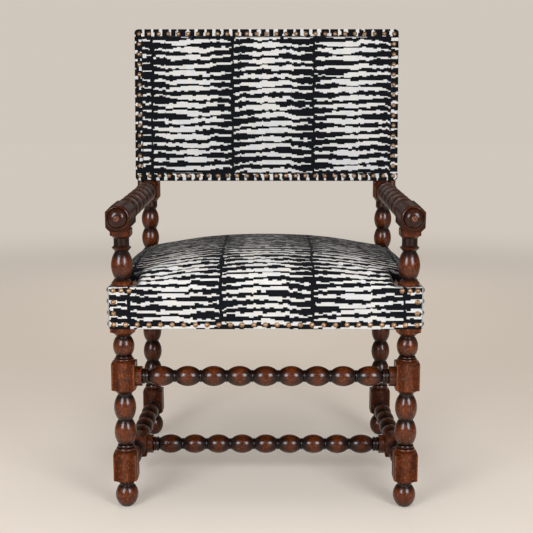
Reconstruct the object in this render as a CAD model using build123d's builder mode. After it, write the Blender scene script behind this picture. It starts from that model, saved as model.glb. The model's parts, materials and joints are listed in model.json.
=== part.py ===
"""Bobbin-turned armchair with an upholstered seat and back.

Sizes are in millimetres. +Z is up, the sitter faces -Y, and the origin lies on the floor under the
middle of the chair's box. The turned frame is joined with pegged round tenons, the seat and back
frames with square tenons, and the upholstery is built up in layers and held with dome nails.
"""

import os
from math import atan2, cos, degrees, radians, sin, sqrt

from build123d import *

# Plan of the frame
leg_spacing = 550.0  # between leg centres, left to right
leg_depth = 443.0  # between leg centres, front to back
post_square = 45.0  # stock of the legs and posts
arris_round = 1.2  # worn edge of the square blocks

# Ball feet
foot_height = 44.0
foot_diameter = 44.4
foot_pad = 20.0  # flat that the ball stands on
foot_land = 3.0  # short neck above the ball

# Square blocks and the rings on top of them
shoulder_height = 8.0  # from the neck out to the flat of the block
shoulder_lip = 2.7  # from the flat out to the corner of the block
lower_block_height = 65.0
upper_block_height = 64.0
ring_group = 15.0  # pair of rings above the lower block
upper_ring_group = 11.0  # pair of rings above the upper block
ring_cove = 2.0  # hollow under the pair
ring_large = 38.0
ring_small = 33.0
ring_fall = 1.5  # how far the edge of a ring falls away

# Bobbins of the legs
leg_neck = 27.4
leg_bobbin = 43.2
leg_bobbin_length = 49.8
neck_land = 3.4  # plain neck under the upper block
top_bobbin = 41.4
top_bobbin_length = 38.5
seat_neck_land = 1.0  # plain neck under the seat block
rear_bobbins = 4
rear_ring_group = 22.0  # rings above the rear lower block
rear_top_land = 16.0  # tapered neck under the rear seat block

# Seat frame heights
seat_block_show = 17.5  # block that shows below the seat cover
seat_side_height = 80.0  # seat cover's lower edge to the top of the seat frame

# Arm supports above the seat
base_height = 14.5
base_ring = 41.0
vase_length = 53.0
vase_diameter = 41.4
vase_top = 25.0
vee_ring = 37.6
vee_ring_height = 11.5
vee_ring_peak = 6.9  # sharp edge of the ring above the vase
support_collar = 29.6
support_collar_length = 14.0
cap_square = 38.0
cap_shoulder = 4.0

# Rear posts between seat and arm
rear_base_height = 17.0
rear_upper_bobbins = 2
rear_upper_bobbin = 40.2
rear_collar = 34.0
rear_collar_length = 19.5
rear_collar_run = 6.5  # from the bobbin's neck out to the collar
arm_block_below = 28.0  # from the arm's axis down to the block's neck
arm_block_above = 9.5  # from the arm's axis up to the end of the flat
arm_block_roof = 15.0  # sloping top of the block, in front of the back
arm_block_roof_width = 29.0
stile_outset = 5.5  # arm block and stile wider than the post, on the outside

# Arms
arm_rise = 137.0  # arm's axis above the seat frame, at the front leg
arm_climb = 18.0  # how much higher the axis is at the rear post
arm_width = 46.0
arm_above = 22.5  # arm's axis to the top of its block
arm_below = 26.5  # arm's axis to the underside of its block
arm_chamfer = 11.5  # along the upper edges
arm_under_chamfer = 7.5  # along the lower edges
arm_overhang = 42.0  # front leg's axis to the front face of the arm block
arm_block_length = 82.0
arm_bobbins = 6
arm_bobbin = 44.8
arm_neck = 25.0
arm_face_turn = 48.0  # flat turned on the front of the arm block
boss_ring = 45.6
boss_ring_crest = 40.6
boss_ring_rise = 3.0  # crest of the ring ahead of the face
boss_ring_round = 0.5  # fullness of the ring's outer side
boss_groove = 1.0  # bottom of the groove inside the ring, ahead of the face
boss_foot = 4.0  # edge of the dome ahead of the face
boss_dome = 35.0
boss_dome_length = 6.5
boss_dome_bulge = 3.0  # fullness of the dome at half its length
boss_tip = 12.6
boss_tip_length = 5.0
boss_tip_flat = 4.0
boss_tip_neck = 1.0  # how far the tip draws in at its root

# Stretchers
stretcher_collar = 38.5
stretcher_collar_length = 13.0
stretcher_rings = 12.5  # pair of fine rings beside the collar
stretcher_ring = 30.0
stretcher_bobbin = 39.4
stretcher_neck = 21.6
stretcher_bead = 4.2  # width of the bead between two bobbins
bead_rise = 1.3
cross_bobbins = 9
side_square = 44.0  # stock of the side stretchers
side_front_bobbins = 1
side_rear_bobbins = 4
front_stretcher_rise = 2.0  # front stretcher's axis above the middle of the upper block
lower_stretcher_drop = 5.6  # lower stretchers' axis below the middle of the lower block
cross_setback = 152.0  # cross stretcher's axis behind the front legs' axis
cross_block_length = 62.0

# Joints of the turned frame
round_tenon = 18.0
round_tenon_length = 24.0
arm_tenon = 20.0
arm_tenon_length = 24.0
joint_clearance = 0.1  # around a tenon or a peg
tenon_spare = 1.0  # empty bottom of a mortise
peg_diameter = 6.0
peg_length = 36.0
peg_setback = 13.0  # peg's axis from the shoulder of its tenon

# Seat frame
rail_thickness = 25.0
rail_hem = 4.0  # rail's lower edge above the cover's lower edge
tenon_thickness = 10.0
tenon_margin = 11.0  # rail above and below its tenon
tenon_tip_gap = 1.5  # between the two tenons that meet in a post
corner_block_leg = 80.0
corner_block_height = 40.0
corner_block_drop = 16.0  # below the top of the rails
corner_block_gap = 0.5  # around the post
screw_place = 45.0  # screw's axis from the inner corner of the frame
screw_shank = 4.0
screw_length = 40.0
screw_bite = 10.0  # length in the rail
screw_head = 8.0
screw_head_height = 3.0

# Webbing, hessian and dust cover
web_width = 50.0
web_thickness = 1.5
web_tack = 6.0  # end of a web from the rail's outer face
seat_webs_long = 5
seat_webs_cross = 4
hessian_thickness = 1.0
hessian_inset = 4.0
sheet_gap = 0.5  # between a sheet's notch and a post
dust_cover_thickness = 1.0
dust_cover_inset = 5.0

# Seat upholstery
cover_thickness = 2.0
seat_padding = 1.0  # wadding over the outside of the rails
crown_rise = 65.0  # middle of the stuffing above the seat frame
crown_shoulder_rise = 37.0
crown_shoulder_run = 48.0
crown_shoulder_bend = 0.66  # share of the rise and run at the middle of the shoulder
notch_gap = 3.0  # between a post and the cover around it
shelf_gap = 0.4  # around the turned base where it leaves the cover
crown_shape = ((0.0, 0.06), (0.03, 0.36), (0.08, 0.62), (0.18, 0.84), (0.32, 0.96), (0.5, 1.0))

# Back
back_tilt = 5.0  # degrees
back_gap = 10.0  # cover's lower edge above the flat of the arm block
back_height = 349.0
back_side_padding = 1.0
back_edge_padding = 3.0
back_padding = 10.0  # in front of the stiles
back_crown = 8.0
back_border = 20.0  # flat border of the cover
back_shape = ((0.0, 0.1), (0.22, 0.72), (0.5, 1.0))
stile_depth = 24.0
stile_front = 2.0  # stile's front face ahead of the post's axis
stile_root = 25.0  # stile's lower end below the cover
panel_gap = 0.3  # between the arm block's roof and the cover
back_rail_height = 50.0
back_lower_rail_height = 40.0
back_tenon_thickness = 8.0
back_tenon_length = 26.0
back_tenon_margin = 8.0
back_webs = 4
back_sheet_lap = 16.0  # hessian and webs over the rails
trim_width = 18.0
trim_thickness = 1.2

# Dome nails
nail_head = 10.0
nail_rise = 3.2
nail_shank = 1.8
nail_length = 14.0
nail_point = 1.0
nail_pitch = 22.6
nail_inset = 10.7  # row from the edge of the back
seat_nail_inset = 11.5  # row from the corner of the seat
seat_nail_hem = 9.0  # row above the seat cover's lower edge
seat_nail_top = 5.0  # top row below the seat frame's top
post_nails = 3  # across the face of a post
column_nails = 4
notch_nails = (-14.0, 4.0)  # places along the notch, from the post's axis

# Worked out: plan
half = post_square / 2
corner = post_square / sqrt(2)
leg_x = leg_spacing / 2
arm_slope = atan2(arm_climb, leg_depth)
tilt = radians(back_tilt)
boss_length = boss_foot + boss_dome_length + boss_tip_length
back_rear = stile_depth - stile_front + cover_thickness
front_reach = (arm_overhang + boss_length) * cos(arm_slope) + boss_tip_flat / 2 * sin(arm_slope)
rear_reach = (back_rear + nail_rise) * cos(tilt) + (back_height - nail_inset) * sin(tilt)
front_y = (front_reach - rear_reach - leg_depth) / 2
rear_y = front_y + leg_depth

# Worked out: levels
lower_low = foot_height + foot_land
lower_high = lower_low + lower_block_height
lower_axis = (lower_low + lower_high) / 2 - lower_stretcher_drop
upper_low = lower_high + ring_group + 2 * leg_bobbin_length + neck_land
upper_high = upper_low + upper_block_height
upper_axis = (upper_low + upper_high) / 2 + front_stretcher_rise
seat_block_low = upper_high + upper_ring_group + top_bobbin_length + seat_neck_land
cover_low = seat_block_low + seat_block_show
frame_top = cover_low + seat_side_height
rail_low = cover_low + rail_hem
rail_top = frame_top - hessian_thickness - 2 * web_thickness
side_rail_top = rail_top + web_thickness
arm_front_z = frame_top + arm_rise
arm_rear_z = arm_front_z + arm_climb
arm_block_low = arm_rear_z - arm_block_below
arm_block_high = arm_rear_z + arm_block_above
back_low = arm_block_high + back_gap

# Worked out: joints
seat_tenon = post_square - (rail_thickness + tenon_thickness) / 2 - tenon_tip_gap
cross_y = front_y + cross_setback
side_length = leg_depth - post_square
cross_length = leg_spacing - side_square
front_length = leg_spacing - post_square
arm_shoulder = (leg_depth - half) / cos(arm_slope)  # along the arm's axis
arm_up = Vector(0, -sin(arm_slope), cos(arm_slope))
sides = (("left", -1), ("right", 1))
ends = (("front", front_y, -1), ("rear", rear_y, 1))
stock_reach = 2 * (leg_depth + leg_spacing)


def upright(x, y):
    """Plane whose y axis is the vertical axis of a leg."""
    return Plane(origin=(x, y, 0), x_dir=(1, 0, 0), z_dir=(0, -1, 0))


def crosswise(x, y, z):
    """Plane whose y axis runs to the right from a point."""
    return Plane(origin=(x, y, z), x_dir=(0, 0, 1), z_dir=(0, 1, 0))


def lengthwise(x, y, z):
    """Plane whose y axis runs to the rear from a point."""
    return Plane(origin=(x, y, z), x_dir=(0, 0, 1), z_dir=(-1, 0, 0))


def arm_plane(x):
    """Plane whose y axis is an arm's sloping axis, from the front leg to the rear."""
    return Plane(origin=(x, front_y, arm_front_z), x_dir=arm_up, z_dir=(-1, 0, 0))


def square_stock(side):
    """Section of a square length of wood with worn edges."""
    return RectangleRounded(side, side, arris_round)


def turned(plane, steps, stock):
    """Turning about the plane's y axis, cut back to the faces of its stock.

    A step is the radius and height that the outline runs to, straight, or bulging out to a third
    value half way.
    """
    with BuildPart() as work:
        with BuildSketch(plane):
            with BuildLine():
                here = steps[0]
                Line((0, here[1]), here)
                for radius, height, *belly in steps[1:]:
                    there = (radius, height)
                    if belly:
                        ThreePointArc(here, (belly[0], (here[1] + height) / 2), there)
                    else:
                        Line(here, there)
                    here = there
                Line(here, (0, here[1]))
                Line((0, here[1]), (0, steps[0][1]))
            make_face()
        revolve(axis=Axis(plane.origin, plane.y_dir))
        with BuildSketch(Plane(origin=plane.origin, x_dir=plane.x_dir, z_dir=plane.y_dir)):
            add(stock)
        extrude(amount=stock_reach, both=True, mode=Mode.INTERSECT)
    return work.part


def block(low, high, neck, flat, reach):
    """Square block: from a neck out over a shoulder to the corners, and back to its flat."""
    return [
        (neck, low),
        (flat, low + shoulder_height),
        (reach, low + shoulder_height + shoulder_lip),
        (reach, high - shoulder_lip),
        (flat, high),
    ]


def rings(low, height, neck):
    """Pair of rings, the upper one smaller, that end at a neck."""
    bead = (height - ring_cove) / 2
    middle = low + ring_cove + bead
    large = ring_large / 2
    small = ring_small / 2
    return [
        (large - ring_fall, low + ring_cove),
        (large - ring_fall, middle, large),
        (small - ring_fall, middle),
        (small - ring_fall, low + height, small),
        (neck, low + height),
    ]


def bobbins(low, high, count, neck, belly):
    """Row of bobbins from neck to neck."""
    pitch = (high - low) / count
    return [(neck, low + pitch * (i + 1), belly) for i in range(count)]


def beaded_bobbins(low, high, count):
    """Row of stretcher bobbins with a bead at each neck between two of them."""
    neck = stretcher_neck / 2
    pitch = (high - low) / count
    steps = []
    for i in range(count):
        start = low + pitch * i
        if i:
            steps.append((neck, start + stretcher_bead / 2, neck + bead_rise))
        trim = stretcher_bead / 2 if i < count - 1 else 0
        steps.append((neck, start + pitch - trim, stretcher_bobbin / 2))
    return steps


def fine_rings(low, high):
    """Pair of fine rings between two places along a stretcher or arm."""
    ring = stretcher_ring / 2
    middle = (low + high) / 2
    return [
        (ring - ring_fall, low),
        (ring - ring_fall, middle, ring),
        (ring - ring_fall, high, ring),
    ]


def collar_end(shoulder, inward, neck):
    """End of a stretcher: collar against the shoulder, then rings, then a neck further in."""
    collar = stretcher_collar / 2
    inner = shoulder + inward * stretcher_collar_length
    last = inner + inward * stretcher_rings
    steps = [(collar, shoulder), (collar, inner), *fine_rings(inner, last), (neck, last)]
    return steps if inward > 0 else list(reversed_steps(steps))


def reversed_steps(steps):
    """Same outline run the other way, with each bulge kept on its own stretch."""
    for i in range(len(steps) - 1, -1, -1):
        belly = steps[i + 1][2:] if i + 1 < len(steps) else ()
        yield (*steps[i][:2], *belly)


def with_tenons(steps, low, high):
    """Outline with a round tenon beyond each shoulder."""
    radius = round_tenon / 2
    return [
        (radius, low - round_tenon_length),
        (radius, low),
        *steps,
        (radius, high),
        (radius, high + round_tenon_length),
    ]


def bore(origin, direction, diameter, depth, mode=Mode.SUBTRACT):
    """Round hole, or with another mode a round pin, from a point along a direction."""
    with BuildSketch(Plane(origin=origin, z_dir=direction)) as mouth:
        Circle(diameter / 2)
    extrude(mouth.sketch, amount=depth, mode=mode)


def mortise(origin, direction, diameter, depth):
    """Round mortise that takes a tenon with clearance."""
    bore(origin, direction, diameter + 2 * joint_clearance, depth + tenon_spare)


def slab(plane, x, y, depth, mode=Mode.ADD):
    """Straight-sided slab on a plane, between two x values and two y values."""
    with BuildSketch(plane) as face:
        with Locations(((x[0] + x[1]) / 2, (y[0] + y[1]) / 2)):
            Rectangle(abs(x[1] - x[0]), abs(y[1] - y[0]))
    extrude(face.sketch, amount=depth, mode=mode)


def level_slab(x, y, z, mode=Mode.ADD):
    """Slab with level faces between two x, two y and two z values."""
    slab(Plane.XY.offset(z[0]), x, y, z[1] - z[0], mode)


def grown(span, amount):
    """Span made larger by an amount at each end."""
    low, high = min(span), max(span)
    return (low - amount, high + amount)


def spread(low, high, pitch):
    """Evenly spaced places from low to high, about a pitch apart."""
    count = max(1, round((high - low) / pitch))
    return [low + (high - low) * i / count for i in range(count + 1)]


def both_halves(shape):
    """Places and shares of a crown's first half, followed by the mirror of them."""
    return [*shape, *((1 - place, share) for place, share in shape[-2::-1])]


def save(work, name):
    """Label a finished piece and write it."""
    work.part.label = name
    export_step(work.part, f"parts/{name}.step")


os.makedirs("parts", exist_ok=True)

# Pegs that lock the round tenons, each from an outside face inwards
peg_spots = []
for side, sign in sides:
    outward = sign * (leg_x + half)
    inner = sign * (leg_x - half + peg_setback)
    cross_inner = sign * (leg_x - side_square / 2 + peg_setback)
    arm_peg_y = rear_y - half + peg_setback
    arm_peg_z = arm_front_z + (arm_peg_y - front_y) * arm_climb / leg_depth
    arm_tenon_z = arm_front_z - arm_below + peg_setback
    peg_spots += [
        ((inner, front_y - half, upper_axis), (0, 1, 0)),
        ((outward, front_y + half - peg_setback, lower_axis), (-sign, 0, 0)),
        ((outward, rear_y - half + peg_setback, lower_axis), (-sign, 0, 0)),
        ((cross_inner, cross_y, lower_axis - side_square / 2), (0, 0, 1)),
        ((sign * (leg_x + arm_width / 2), front_y, arm_tenon_z), (-sign, 0, 0)),
        ((outward + sign * stile_outset, arm_peg_y, arm_peg_z), (-sign, 0, 0)),
    ]

with BuildPart() as frame_pegs:
    for spot, direction in peg_spots:
        bore(spot, direction, peg_diameter, peg_length, Mode.ADD)
save(frame_pegs, "frame_pegs")

with BuildPart() as peg_holes:
    for spot, direction in peg_spots:
        bore(spot, direction, peg_diameter + 2 * joint_clearance, peg_length + tenon_spare, Mode.ADD)

# Seat rails: spans that the rails, their tenons and the mortises share
rail_span = (-leg_x + half, leg_x - half)
side_span = (front_y + half, rear_y - half)
tenon_z = (rail_low + tenon_margin, rail_top - tenon_margin)


def rail_tenons(clearance, spare, mode):
    """Tenons of the front and rear rails, or with clearance their mortises."""
    for _, end_y, facing in ends:
        middle = end_y + facing * (half - rail_thickness / 2)
        thick = (middle - tenon_thickness / 2, middle + tenon_thickness / 2)
        long = grown(rail_span, seat_tenon + spare)
        level_slab(long, grown(thick, clearance), grown(tenon_z, clearance), mode)


def side_rail_tenons(clearance, spare, mode):
    """Tenons of the side rails, or with clearance their mortises."""
    for _, sign in sides:
        middle = sign * (leg_x + half - rail_thickness / 2)
        thick = (middle - tenon_thickness / 2, middle + tenon_thickness / 2)
        long = grown(side_span, seat_tenon + spare)
        level_slab(grown(thick, clearance), long, grown(tenon_z, clearance), mode)


with BuildPart() as seat_mortises:
    rail_tenons(joint_clearance, joint_clearance, Mode.ADD)
    side_rail_tenons(joint_clearance, joint_clearance, Mode.ADD)

# Outlines that the front legs and rear posts share
neck = leg_neck / 2
foot_steps = [(foot_pad / 2, 0), (neck, foot_height, foot_diameter / 2)]
lower_block = block(lower_low, lower_high, neck, half, corner)
base_step = (base_ring / 2, frame_top)

# Front legs, each running up through the seat corner as the arm's support
vase_low = frame_top + base_height
vase_high = vase_low + vase_length
vee_high = vase_high + vee_ring_height
collar_high = vee_high + support_collar_length
front_steps = [
    *foot_steps,
    *lower_block,
    *rings(lower_high, ring_group, neck),
    *bobbins(lower_high + ring_group, upper_low - neck_land, 2, neck, leg_bobbin / 2),
    *block(upper_low, upper_high, neck, half, corner),
    *rings(upper_high, upper_ring_group, neck),
    (neck, seat_block_low - seat_neck_land, top_bobbin / 2),
    *block(seat_block_low, frame_top, neck, half, corner)[:3],
    (corner, frame_top),
    base_step,
    (base_ring / 2, frame_top + base_height / 2),
    (neck, vase_low),
    (vase_top / 2, vase_high, vase_diameter / 2),
    (vee_ring / 2, vase_high + vee_ring_peak),
    (support_collar / 2, vee_high),
    (support_collar / 2, collar_high),
]
cap_half = cap_square / 2
cap_steps = [
    (support_collar / 2, collar_high),
    (cap_half, collar_high + cap_shoulder),
    (cap_square / sqrt(2), collar_high + cap_shoulder + shoulder_lip),
    (cap_square / sqrt(2), arm_front_z),
]
for side, sign in sides:
    axis_plane = upright(sign * leg_x, front_y)
    leg_turning = turned(axis_plane, front_steps, square_stock(post_square))
    cap_turning = turned(axis_plane, cap_steps, square_stock(cap_square))
    arm_under = Plane(
        origin=Vector(sign * leg_x, front_y, arm_front_z) - arm_up * arm_below, z_dir=arm_up
    )
    with BuildPart() as front_leg:
        add(cap_turning)
        split(bisect_by=arm_under, keep=Keep.BOTTOM)
        add(leg_turning)
        tenon_foot = (sign * leg_x, front_y, collar_high)
        tenon_top = arm_under.origin.Z + arm_tenon_length
        bore(tenon_foot, (0, 0, 1), arm_tenon, tenon_top - collar_high, Mode.ADD)
        inner_face = (sign * (leg_x - half), front_y, upper_axis)
        mortise(inner_face, (sign, 0, 0), round_tenon, round_tenon_length)
        back_face = (sign * leg_x, front_y + half, lower_axis)
        mortise(back_face, (0, -1, 0), round_tenon, round_tenon_length)
        add(seat_mortises.part, mode=Mode.SUBTRACT)
        add(peg_holes.part, mode=Mode.SUBTRACT)
    save(front_leg, f"front_leg_{side}")

# Plane of the back: its z axis faces the sitter, its y axis runs up the stiles
back_plane = Plane(
    origin=(0, rear_y, back_low), x_dir=(1, 0, 0), z_dir=(0, -cos(tilt), sin(tilt))
)
stile_z = (stile_front - stile_depth, stile_front)
cover_inside = stile_front + back_padding
cover_front = cover_inside + cover_thickness
stile_outer = leg_x + half + stile_outset
back_half = stile_outer + back_side_padding + cover_thickness
frame_y = (cover_thickness + back_edge_padding, back_height - cover_thickness - back_edge_padding)
upper_rail_y = (frame_y[1] - back_rail_height, frame_y[1])
lower_rail_y = (frame_y[0], frame_y[0] + back_lower_rail_height)


def back_slab(x, y, z, mode=Mode.ADD):
    """Slab square to the back, between two x, two y and two z values of its plane."""
    slab(back_plane.offset(z[0]), x, y, z[1] - z[0], mode)


def back_tenons(y, clearance, mode):
    """Tenons of a back rail between two y values, or with clearance their mortises."""
    middle = sum(stile_z) / 2
    thick = (middle - back_tenon_thickness / 2, middle + back_tenon_thickness / 2)
    tall = (y[0] + back_tenon_margin, y[1] - back_tenon_margin)
    long = grown(rail_span, back_tenon_length)
    back_slab(grown(long, clearance), grown(tall, clearance), grown(thick, clearance), mode)


# Rear posts, turned up to the arm, then square and raked inside the back
upper_low_rear = frame_top + rear_base_height
upper_high_rear = arm_block_low - rear_collar_length
rear_steps = [
    *foot_steps,
    *lower_block,
    *rings(lower_high, rear_ring_group, neck),
    *bobbins(
        lower_high + rear_ring_group,
        seat_block_low - rear_top_land,
        rear_bobbins,
        neck,
        leg_bobbin / 2,
    ),
    *block(seat_block_low, frame_top, neck, half, corner)[:3],
    (corner, frame_top),
    base_step,
    (base_ring / 2, frame_top + rear_base_height / 2),
    (neck, upper_low_rear),
    *bobbins(upper_low_rear, upper_high_rear, rear_upper_bobbins, neck, rear_upper_bobbin / 2),
    (rear_collar / 2, upper_high_rear + rear_collar_run),
    (rear_collar / 2, arm_block_low),
]
block_reach = sqrt((half + stile_outset) ** 2 + half**2)
arm_block_steps = [
    *block(arm_block_low, arm_block_high, rear_collar / 2, half, block_reach),
    (arm_block_roof_width / 2, arm_block_high + arm_block_roof),
]
for side, sign in sides:
    post_turning = turned(upright(sign * leg_x, rear_y), rear_steps, square_stock(post_square))
    with BuildSketch() as block_stock:
        with Locations((sign * stile_outset / 2, 0)):
            RectangleRounded(post_square + stile_outset, post_square, arris_round)
    block_turning = turned(upright(sign * leg_x, rear_y), arm_block_steps, block_stock.sketch)
    stile_x = (sign * (leg_x - half), sign * stile_outer)
    with BuildPart() as rear_post:
        add(post_turning)
        add(block_turning)
        panel_z = (-back_rear - half, cover_front + trim_thickness + panel_gap)
        back_slab(grown(stile_x, half), (-panel_gap, back_height), panel_z, Mode.SUBTRACT)
        back_slab(stile_x, (-stile_root, frame_y[1]), stile_z)
        front_face = (sign * leg_x, rear_y - half, lower_axis)
        mortise(front_face, (0, 1, 0), round_tenon, round_tenon_length)
        arm_mouth = arm_plane(sign * leg_x).from_local_coords((0, arm_shoulder - tenon_spare, 0))
        arm_mortise_depth = tenon_spare + round_tenon_length
        mortise(arm_mouth, arm_plane(0).y_dir, round_tenon, arm_mortise_depth)
        add(seat_mortises.part, mode=Mode.SUBTRACT)
        back_tenons(upper_rail_y, joint_clearance, Mode.SUBTRACT)
        back_tenons(lower_rail_y, joint_clearance, Mode.SUBTRACT)
        add(peg_holes.part, mode=Mode.SUBTRACT)
    save(rear_post, f"rear_post_{side}")

# Arms: boss and eight-sided block at the front, bobbins, collar against the rear post
arm_half = arm_width / 2
arm_stock_reach = sqrt(arm_half**2 + arm_below**2)
arm_block_end = arm_block_length - arm_overhang
face_low = -arm_overhang
foot_out = face_low - boss_foot
dome_out = foot_out - boss_dome_length
front_end = collar_end(arm_block_end, 1, arm_neck / 2)
rear_end = collar_end(arm_shoulder, -1, arm_neck / 2)
arm_steps = [
    (boss_tip_flat / 2, dome_out - boss_tip_length),
    (boss_tip / 2 - boss_tip_neck, dome_out, boss_tip / 2),
    (boss_tip / 2 + boss_tip_neck, dome_out),
    (boss_dome / 2, foot_out, boss_dome / 2 - boss_dome_bulge),
    (boss_dome / 2, face_low - boss_groove),
    (boss_ring_crest / 2, face_low - boss_ring_rise),
    (boss_ring / 2, face_low, boss_ring / 2 - boss_ring_round),
    (arm_face_turn / 2, face_low),
    (arm_stock_reach, face_low + shoulder_lip),
    (arm_stock_reach, arm_block_end - shoulder_lip),
    *front_end,
    *bobbins(front_end[-1][1], rear_end[0][1], arm_bobbins, arm_neck / 2, arm_bobbin / 2),
    *rear_end[1:-1],
    (stretcher_collar / 2, arm_shoulder + half),
]
with BuildSketch() as arm_stock:
    with BuildLine():
        Polyline(
            (arm_above, arm_half), (-arm_below, arm_half), (-arm_below, -arm_half), (arm_above, -arm_half),
            close=True,
        )
    make_face()
    chamfer(arm_stock.vertices().group_by(Axis.X)[-1], arm_chamfer)
    chamfer(arm_stock.vertices().group_by(Axis.X)[0], arm_under_chamfer)
for side, sign in sides:
    arm_turning = turned(arm_plane(sign * leg_x), arm_steps, arm_stock.sketch)
    with BuildPart() as arm:
        add(arm_turning)
        split(bisect_by=Plane(origin=(0, rear_y - half, 0), z_dir=(0, 1, 0)), keep=Keep.BOTTOM)
        arm_axis = arm_plane(sign * leg_x)
        tenon_start = arm_axis.from_local_coords((0, arm_shoulder - stretcher_collar_length / 2, 0))
        tenon_reach = stretcher_collar_length / 2 + round_tenon_length
        bore(tenon_start, arm_axis.y_dir, round_tenon, tenon_reach, Mode.ADD)
        under = (sign * leg_x, front_y, arm_front_z - 2 * arm_below)
        mortise(under, (0, 0, 1), arm_tenon, arm_below + arm_tenon_length)
        add(peg_holes.part, mode=Mode.SUBTRACT)
    save(arm, f"arm_{side}")

# Front stretcher between the upper blocks
row_start = stretcher_collar_length + stretcher_rings
stretcher_radius = stretcher_neck / 2


def stretcher_steps(length, count):
    """Outline of a plain stretcher: collars and rings at both ends, bobbins between."""
    steps = [
        *collar_end(0, 1, stretcher_radius),
        *beaded_bobbins(row_start, length - row_start, count),
        *collar_end(length, -1, stretcher_radius)[1:],
    ]
    return with_tenons(steps, 0, length)


front_plane = crosswise(-front_length / 2, front_y, upper_axis)
front_turning = turned(
    front_plane, stretcher_steps(front_length, cross_bobbins), square_stock(post_square)
)
with BuildPart() as front_stretcher:
    add(front_turning)
    add(peg_holes.part, mode=Mode.SUBTRACT)
save(front_stretcher, "front_stretcher")

# Cross stretcher between the side stretchers' blocks
cross_plane = crosswise(-cross_length / 2, cross_y, lower_axis)
cross_turning = turned(
    cross_plane, stretcher_steps(cross_length, cross_bobbins), square_stock(post_square)
)
with BuildPart() as cross_stretcher:
    add(cross_turning)
    add(peg_holes.part, mode=Mode.SUBTRACT)
save(cross_stretcher, "cross_stretcher")

# Side stretchers, with the square block that takes the cross stretcher
side_corner = side_square / sqrt(2)
block_start = cross_setback - half - cross_block_length / 2
block_end = block_start + cross_block_length
block_rings = block_start - stretcher_rings
side_steps = [
    *collar_end(0, 1, stretcher_radius),
    *beaded_bobbins(row_start, block_rings, side_front_bobbins),
    *fine_rings(block_rings, block_start),
    (side_square / 2, block_start + shoulder_height),
    (side_corner, block_start + shoulder_height + shoulder_lip),
    (side_corner, block_end - shoulder_height - shoulder_lip),
    (side_square / 2, block_end - shoulder_height),
    *fine_rings(block_end, block_end + stretcher_rings),
    (stretcher_radius, block_end + stretcher_rings),
    *beaded_bobbins(block_end + stretcher_rings, side_length - row_start, side_rear_bobbins),
    *collar_end(side_length, -1, stretcher_radius)[1:],
]
for side, sign in sides:
    side_plane = lengthwise(sign * leg_x, front_y + half, lower_axis)
    side_turning = turned(
        side_plane, with_tenons(side_steps, 0, side_length), square_stock(side_square)
    )
    with BuildPart() as side_stretcher:
        add(side_turning)
        cross_face = (sign * (leg_x - side_square / 2), cross_y, lower_axis)
        mortise(cross_face, (sign, 0, 0), round_tenon, round_tenon_length)
        add(peg_holes.part, mode=Mode.SUBTRACT)
    save(side_stretcher, f"side_stretcher_{side}")

# Screws of the corner blocks: head at the start of each axis, point in a rail
corner_z = (rail_top - corner_block_drop - corner_block_height, rail_top - corner_block_drop)
screw_z = sum(corner_z) / 2
screw_start = screw_length - screw_bite
screw_spots = []
for _, sign in sides:
    for _, end_y, facing in ends:
        inner_x = sign * (leg_x + half - rail_thickness)
        inner_y = end_y + facing * (half - rail_thickness)
        into_end = (inner_x - sign * screw_place, inner_y - facing * screw_start, screw_z)
        into_side = (inner_x - sign * screw_start, inner_y - facing * screw_place, screw_z)
        screw_spots.append((into_end, (0, facing, 0)))
        screw_spots.append((into_side, (sign, 0, 0)))

with BuildPart() as corner_screws:
    for spot, direction in screw_spots:
        bore(spot, direction, screw_shank, screw_length, Mode.ADD)
        bore(spot, [-d for d in direction], screw_head, screw_head_height, Mode.ADD)
save(corner_screws, "corner_block_screws")

with BuildPart() as screw_holes:
    for spot, direction in screw_spots:
        wide = screw_shank + 2 * joint_clearance
        bore(spot, direction, wide, screw_length + tenon_spare, Mode.ADD)
        mouth = screw_head + 2 * joint_clearance
        bore(spot, [-d for d in direction], mouth, corner_block_leg, Mode.ADD)

# Seat rails
for name, end_y, facing in ends:
    thick = (end_y + facing * half, end_y + facing * (half - rail_thickness))
    with BuildPart() as end_rail:
        rail_tenons(0, 0, Mode.ADD)
        # Only this end's tenons stay
        level_slab(rail_span, thick, (rail_low, rail_top))
        keep = grown(thick, tenon_tip_gap)
        level_slab(grown(rail_span, leg_x), keep, (0, frame_top), Mode.INTERSECT)
        add(screw_holes.part, mode=Mode.SUBTRACT)
    save(end_rail, f"{name}_seat_rail")

for side, sign in sides:
    thick = (sign * (leg_x + half - rail_thickness), sign * (leg_x + half))
    with BuildPart() as side_rail:
        side_rail_tenons(0, 0, Mode.ADD)
        level_slab(thick, side_span, (rail_low, side_rail_top))
        keep = grown(thick, tenon_tip_gap)
        level_slab(keep, grown(side_span, leg_x), (0, frame_top), Mode.INTERSECT)
        add(screw_holes.part, mode=Mode.SUBTRACT)
    save(side_rail, f"side_seat_rail_{side}")

# Corner blocks that brace the seat frame round each post
post_reach = post_square - rail_thickness + corner_block_gap
for side, sign in sides:
    for name, end_y, facing in ends:
        inner_x = sign * (leg_x + half - rail_thickness)
        inner_y = end_y + facing * (half - rail_thickness)
        plan = [
            (corner_block_leg, 0),
            (post_reach, 0),
            (post_reach, post_reach),
            (0, post_reach),
            (0, corner_block_leg),
        ]
        with BuildPart() as corner_block:
            with BuildSketch(Plane.XY.offset(corner_z[0])):
                with BuildLine():
                    Polyline([(inner_x - sign * x, inner_y - facing * y) for x, y in plan], close=True)
                make_face()
            extrude(amount=corner_block_height)
            add(screw_holes.part, mode=Mode.SUBTRACT)
        save(corner_block, f"corner_block_{name}_{side}")

# Back rails
for name, rail_y in (("top", upper_rail_y), ("bottom", lower_rail_y)):
    with BuildPart() as back_rail:
        back_slab(rail_span, rail_y, stile_z)
        back_tenons(rail_y, 0, Mode.ADD)
    save(back_rail, f"back_{name}_rail")

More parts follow.
